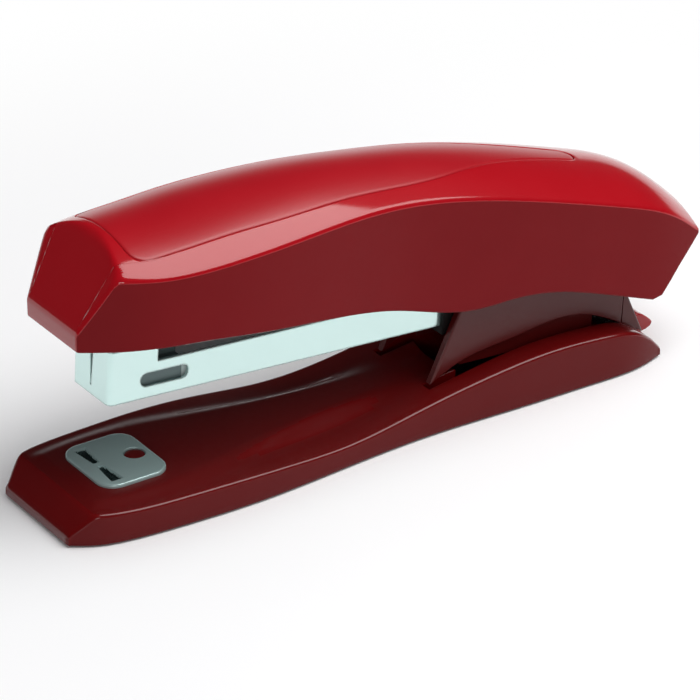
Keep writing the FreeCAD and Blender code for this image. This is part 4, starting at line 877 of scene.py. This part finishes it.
# Bracket: satin red painted dark, as painted shade under the cover's overhang.
bracket_red_painted_shade = surface(
    "bracket_satin", (86, 10, 10), 0.36, coat=0.25, coat_rough=0.2, uneven=0.06, specular=0.3
)
nickel = surface(
    "nickel", (222, 250, 246), 0.2, metal=0.75, uneven=0.02, spread=0.03, bump=0.000004, soften=0.6
)
rail_zinc = surface("rail_zinc", (240, 250, 248), 0.4, metal=0.1, uneven=0.03, bump=0.000004, soften=0.2)
anvil_steel = surface(
    "anvil_steel", (176, 200, 198), 0.22, metal=0.45, uneven=0.02, grain=500, spread=0.02, bump=0.000001
)
# Anvil scoops: dark steel in the hollows, as painted shade.
scoop_painted_shade = surface("scoop_painted_shade", (36, 52, 52), 0.3, metal=0.6, uneven=0.1, bump=0.000001)
steel = surface("steel", (165, 168, 170), 0.3, metal=0.85, uneven=0.05, bump=0.000004, soften=0.2)
spring_steel = surface("spring_steel", (168, 176, 178), 0.3, metal=0.9, uneven=0.08, bump=0.000004)
black = surface("black_nylon", (15, 10, 10), 0.5, uneven=0.2, bump=0.00002, soften=0.15, specular=0.1)
rubber = surface("rubber", (34, 33, 33), 0.78, uneven=0.2, grain=700, bump=0.00006)
pusher_slate = surface(
    "pusher_slate", (104, 122, 122), 0.4, metal=0.2, uneven=0.06, bump=0.000004, soften=0.15
)
plate_black = surface("plate_black", (24, 20, 21), 0.5, uneven=0.12, soften=0.2, specular=0.3)


def wear(thing, material):
    """One material on the whole of an object."""
    thing.data.materials.clear()
    thing.data.materials.append(material)


new_pieces = {
    cover: (enamel, "cover_gloss"), cover_rear: (enamel, "cover_gloss"), insert: (inlay_red, "insert_satin"),
    base: (base_red, "base_gloss"), anvil: (anvil_steel, "anvil_steel"), tongue: (enamel, "cover_gloss"),
    bracket: (bracket_red_painted_shade, "bracket_satin"), cap: (bracket_red_painted_shade, "bracket_satin"),
    feed_spring: (spring_steel, "spring_steel"), lifter: (spring_steel, "spring_steel"),
    leaf: (spring_steel, "spring_steel"),
}
for piece, (material, slot) in new_pieces.items():
    wear(piece, material)


def finish_and_painted_shade(thing, material, picks):
    """Another material on the faces for which picks(centre, normal) is true: another finish, and for some
    faces a darker copy as painted shade.
    """
    thing.data.materials.append(material)
    last = len(thing.data.materials) - 1
    for face in thing.data.polygons:
        if picks(face.center, face.normal):
            face.material_index = last


UPRIGHT, LEVEL = 0.2, 0.94
SIDE_START, SCOOP_TOP, SCOOP_REAR = 12.5 * MM, 8.7 * MM, -62.0 * MM


# Side faces of the cover, which get the darker red of painted shade.
def on_cover_side(centre, normal):
    return abs(normal.z) < UPRIGHT and abs(normal.y) > 0.5


def on_base_side(centre, normal):
    return abs(normal.z) < UPRIGHT and abs(centre.y) > SIDE_START


# Upward faces of the base, which get the darker red of painted shade.
def on_base_deck(centre, normal):
    return normal.z > LEVEL


# Faces down in the anvil's scoops, which get the dark painted shade.
def in_scoop(centre, normal):
    return centre.z < SCOOP_TOP and centre.x < SCOOP_REAR and normal.z > 0.3


# Darker copies as painted shade on the cover's sides, the base's upward faces and the anvil's scoops; the
# base's sides get a thinner coat.
finish_and_painted_shade(cover, side_red_painted_shade, on_cover_side)
finish_and_painted_shade(base, base_side, on_base_side)
finish_and_painted_shade(base, base_deck, on_base_deck)
finish_and_painted_shade(anvil, scoop_painted_shade, in_scoop)
cad_finish = {
    "base_plate": plate_black, "foot_front": rubber, "foot_rear": rubber, "base_screws": steel,
    "carrier_pin": steel, "handle_pin": steel, "guide_collar": black, "magazine_channel": nickel,
    "magazine_rail": rail_zinc, "front_bridge": steel, "rear_stop": black, "guide_rod": steel,
    "magazine_rivets": steel, "staple_pusher": pusher_slate, "handle_frame": steel, "driver_blade": steel,
    "driver_rivets": steel, "cover_screws": steel,
}
for name, node in nodes.items():
    wear(node, cad_finish.get(name, steel))

# ---------------------------------------------------------------- floor, light and camera

# Tones: the backdrop that the camera sees, the fill that lights matt surfaces, and what gloss mirrors.
PALE, FILL, DARK, SCREEN = 1.0, 0.36, 0.012, 0.85
FLOOR_HALF, FADE_START, FADE_END = 6.0, 0.085, 0.24


def stage_floor():
    """Plain pale floor that turns into an even pale ground far from the object."""
    corners = [(FLOOR_HALF * x, FLOOR_HALF * y, 0) for x, y in ((-1, -1), (1, -1), (1, 1), (-1, 1))]
    mesh = bpy.data.meshes.new("floor")
    mesh.from_pydata(corners, [], [(0, 1, 2, 3)])
    floor = bpy.data.objects.new("floor", mesh)
    bpy.context.scene.collection.objects.link(floor)
    material = surface(
        "paper", (248, 248, 248), 0.9, uneven=0.01, mottle=6.0, grain=300, bump=0.0, specular=0.0
    )
    tree = material.node_tree
    make, link = tree.nodes.new, tree.links.new
    shader, output = tree.nodes["Principled BSDF"], tree.nodes["Material Output"]
    rays = make("ShaderNodeLightPath")
    dim = make("ShaderNodeMix")
    dim.data_type = "RGBA"
    dim.inputs["B"].default_value = (FILL, FILL, FILL, 1)
    link(rays.outputs["Is Diffuse Ray"], dim.inputs["Factor"])
    link(shader.inputs["Base Color"].links[0].from_socket, dim.inputs["A"])
    link(dim.outputs["Result"], shader.inputs["Base Color"])
    place = make("ShaderNodeTexCoord")
    reach = make("ShaderNodeVectorMath")
    reach.operation = "LENGTH"
    link(place.outputs["Object"], reach.inputs[0])
    fade = make("ShaderNodeMapRange")
    fade.interpolation_type = "SMOOTHSTEP"
    fade.inputs["From Min"].default_value = FADE_START
    fade.inputs["From Max"].default_value = FADE_END
    link(reach.outputs["Value"], fade.inputs["Value"])
    even = make("ShaderNodeEmission")
    tone = make("ShaderNodeMix")
    tone.data_type = "RGBA"
    tone.inputs["A"].default_value = (PALE, PALE, PALE, 1)
    tone.inputs["B"].default_value = (FILL, FILL, FILL, 1)
    link(rays.outputs["Is Diffuse Ray"], tone.inputs["Factor"])
    link(tone.outputs["Result"], even.inputs["Color"])
    join = make("ShaderNodeMixShader")
    link(fade.outputs["Result"], join.inputs["Fac"])
    link(shader.outputs["BSDF"], join.inputs[1])
    link(even.outputs["Emission"], join.inputs[2])
    link(join.outputs["Shader"], output.inputs["Surface"])
    mesh.materials.append(material)


def softbox(name, centre, target, size, radiance, turn=0.0):
    """Area light of a given size and brightness that faces the target, turned about its own axis."""
    light = bpy.data.lights.new(name, "AREA")
    light.shape = "RECTANGLE"
    light.size, light.size_y = size
    light.energy = radiance * math.pi * size[0] * size[1]
    lamp = bpy.data.objects.new(name, light)
    lamp.location = centre
    facing = (Vector(target) - Vector(centre)).to_track_quat("-Z", "Y")
    lamp.rotation_euler = (facing @ Quaternion((0, 0, 1), math.radians(turn))).to_euler()
    bpy.context.scene.collection.objects.link(lamp)


def stage_world():
    """Even soft fill and a pale backdrop. Gloss mirrors a dark room with one low pale screen behind."""
    world = bpy.data.worlds.new("studio")
    world.use_nodes = True
    bpy.context.scene.world = world
    tree = world.node_tree
    make, link = tree.nodes.new, tree.links.new
    rays = make("ShaderNodeLightPath")
    mirrored = make("ShaderNodeMix")
    mirrored.data_type = "RGBA"
    mirrored.inputs["A"].default_value = (FILL, FILL, FILL + 0.01, 1)
    link(rays.outputs["Is Glossy Ray"], mirrored.inputs["Factor"])
    place = make("ShaderNodeTexCoord")
    behind = make("ShaderNodeVectorMath")
    behind.operation = "DOT_PRODUCT"
    behind.inputs[1].default_value = (0.6, 0.8, 0.0)
    link(place.outputs["Generated"], behind.inputs[0])
    low = make("ShaderNodeSeparateXYZ")
    link(place.outputs["Generated"], low.inputs["Vector"])
    screen = make("ShaderNodeMapRange")
    screen.interpolation_type = "SMOOTHSTEP"
    screen.inputs["From Min"].default_value = 0.16
    screen.inputs["From Max"].default_value = 0.04
    link(low.outputs["Z"], screen.inputs["Value"])
    side = make("ShaderNodeMapRange")
    side.inputs["From Min"].default_value = 0.3
    side.inputs["From Max"].default_value = 0.8
    link(behind.outputs["Value"], side.inputs["Value"])
    share = make("ShaderNodeMath")
    share.operation = "MULTIPLY"
    link(screen.outputs["Result"], share.inputs[0])
    link(side.outputs["Result"], share.inputs[1])
    seen = make("ShaderNodeMix")
    seen.data_type = "RGBA"
    seen.inputs["A"].default_value = (DARK, DARK, DARK, 1)
    seen.inputs["B"].default_value = (SCREEN, SCREEN, SCREEN, 1)
    link(share.outputs["Value"], seen.inputs["Factor"])
    link(seen.outputs["Result"], mirrored.inputs["B"])
    backdrop = make("ShaderNodeMix")
    backdrop.data_type = "RGBA"
    backdrop.inputs["B"].default_value = (PALE, PALE, PALE, 1)
    link(rays.outputs["Is Camera Ray"], backdrop.inputs["Factor"])
    link(mirrored.outputs["Result"], backdrop.inputs["A"])
    link(backdrop.outputs["Result"], tree.nodes["Background"].inputs["Color"])


stage_floor()
stage_world()
softbox("overhead", (0.435, -0.359, 0.90), (0.435, -0.359, 0.0), (0.90, 0.95), 4.35, turn=32)
softbox("front_fill", (-0.56, -0.85, 0.26), (-0.05, 0.0, 0.04), (0.34, 0.16), 6.0)

# Camera axes, to four places, for an azimuth of -34 degrees and an elevation of 28 degrees.
right_hand = Vector((0.8290, -0.5592, 0.0))
upward = Vector((0.2625, 0.3892, 0.8829))
back = Vector((-0.4937, -0.7320, 0.4695))
CAMERA_TARGET = Vector((-14.67, -18.28, 0.0))
CAMERA_DISTANCE, CAMERA_RISE = 910.1, 25.79
spot = CAMERA_TARGET + back * CAMERA_DISTANCE + upward * CAMERA_RISE
camera_data = bpy.data.cameras.new("camera")
camera_data.lens = 216
camera_data.sensor_width = 36
camera = bpy.data.objects.new("camera", camera_data)
camera.matrix_world = Matrix(
    [(right_hand[i], upward[i], back[i], spot[i] * MM) for i in range(3)] + [(0, 0, 0, 1)]
)
bpy.context.scene.collection.objects.link(camera)
bpy.context.scene.camera = camera
bpy.context.scene.view_settings.view_transform = "Standard"
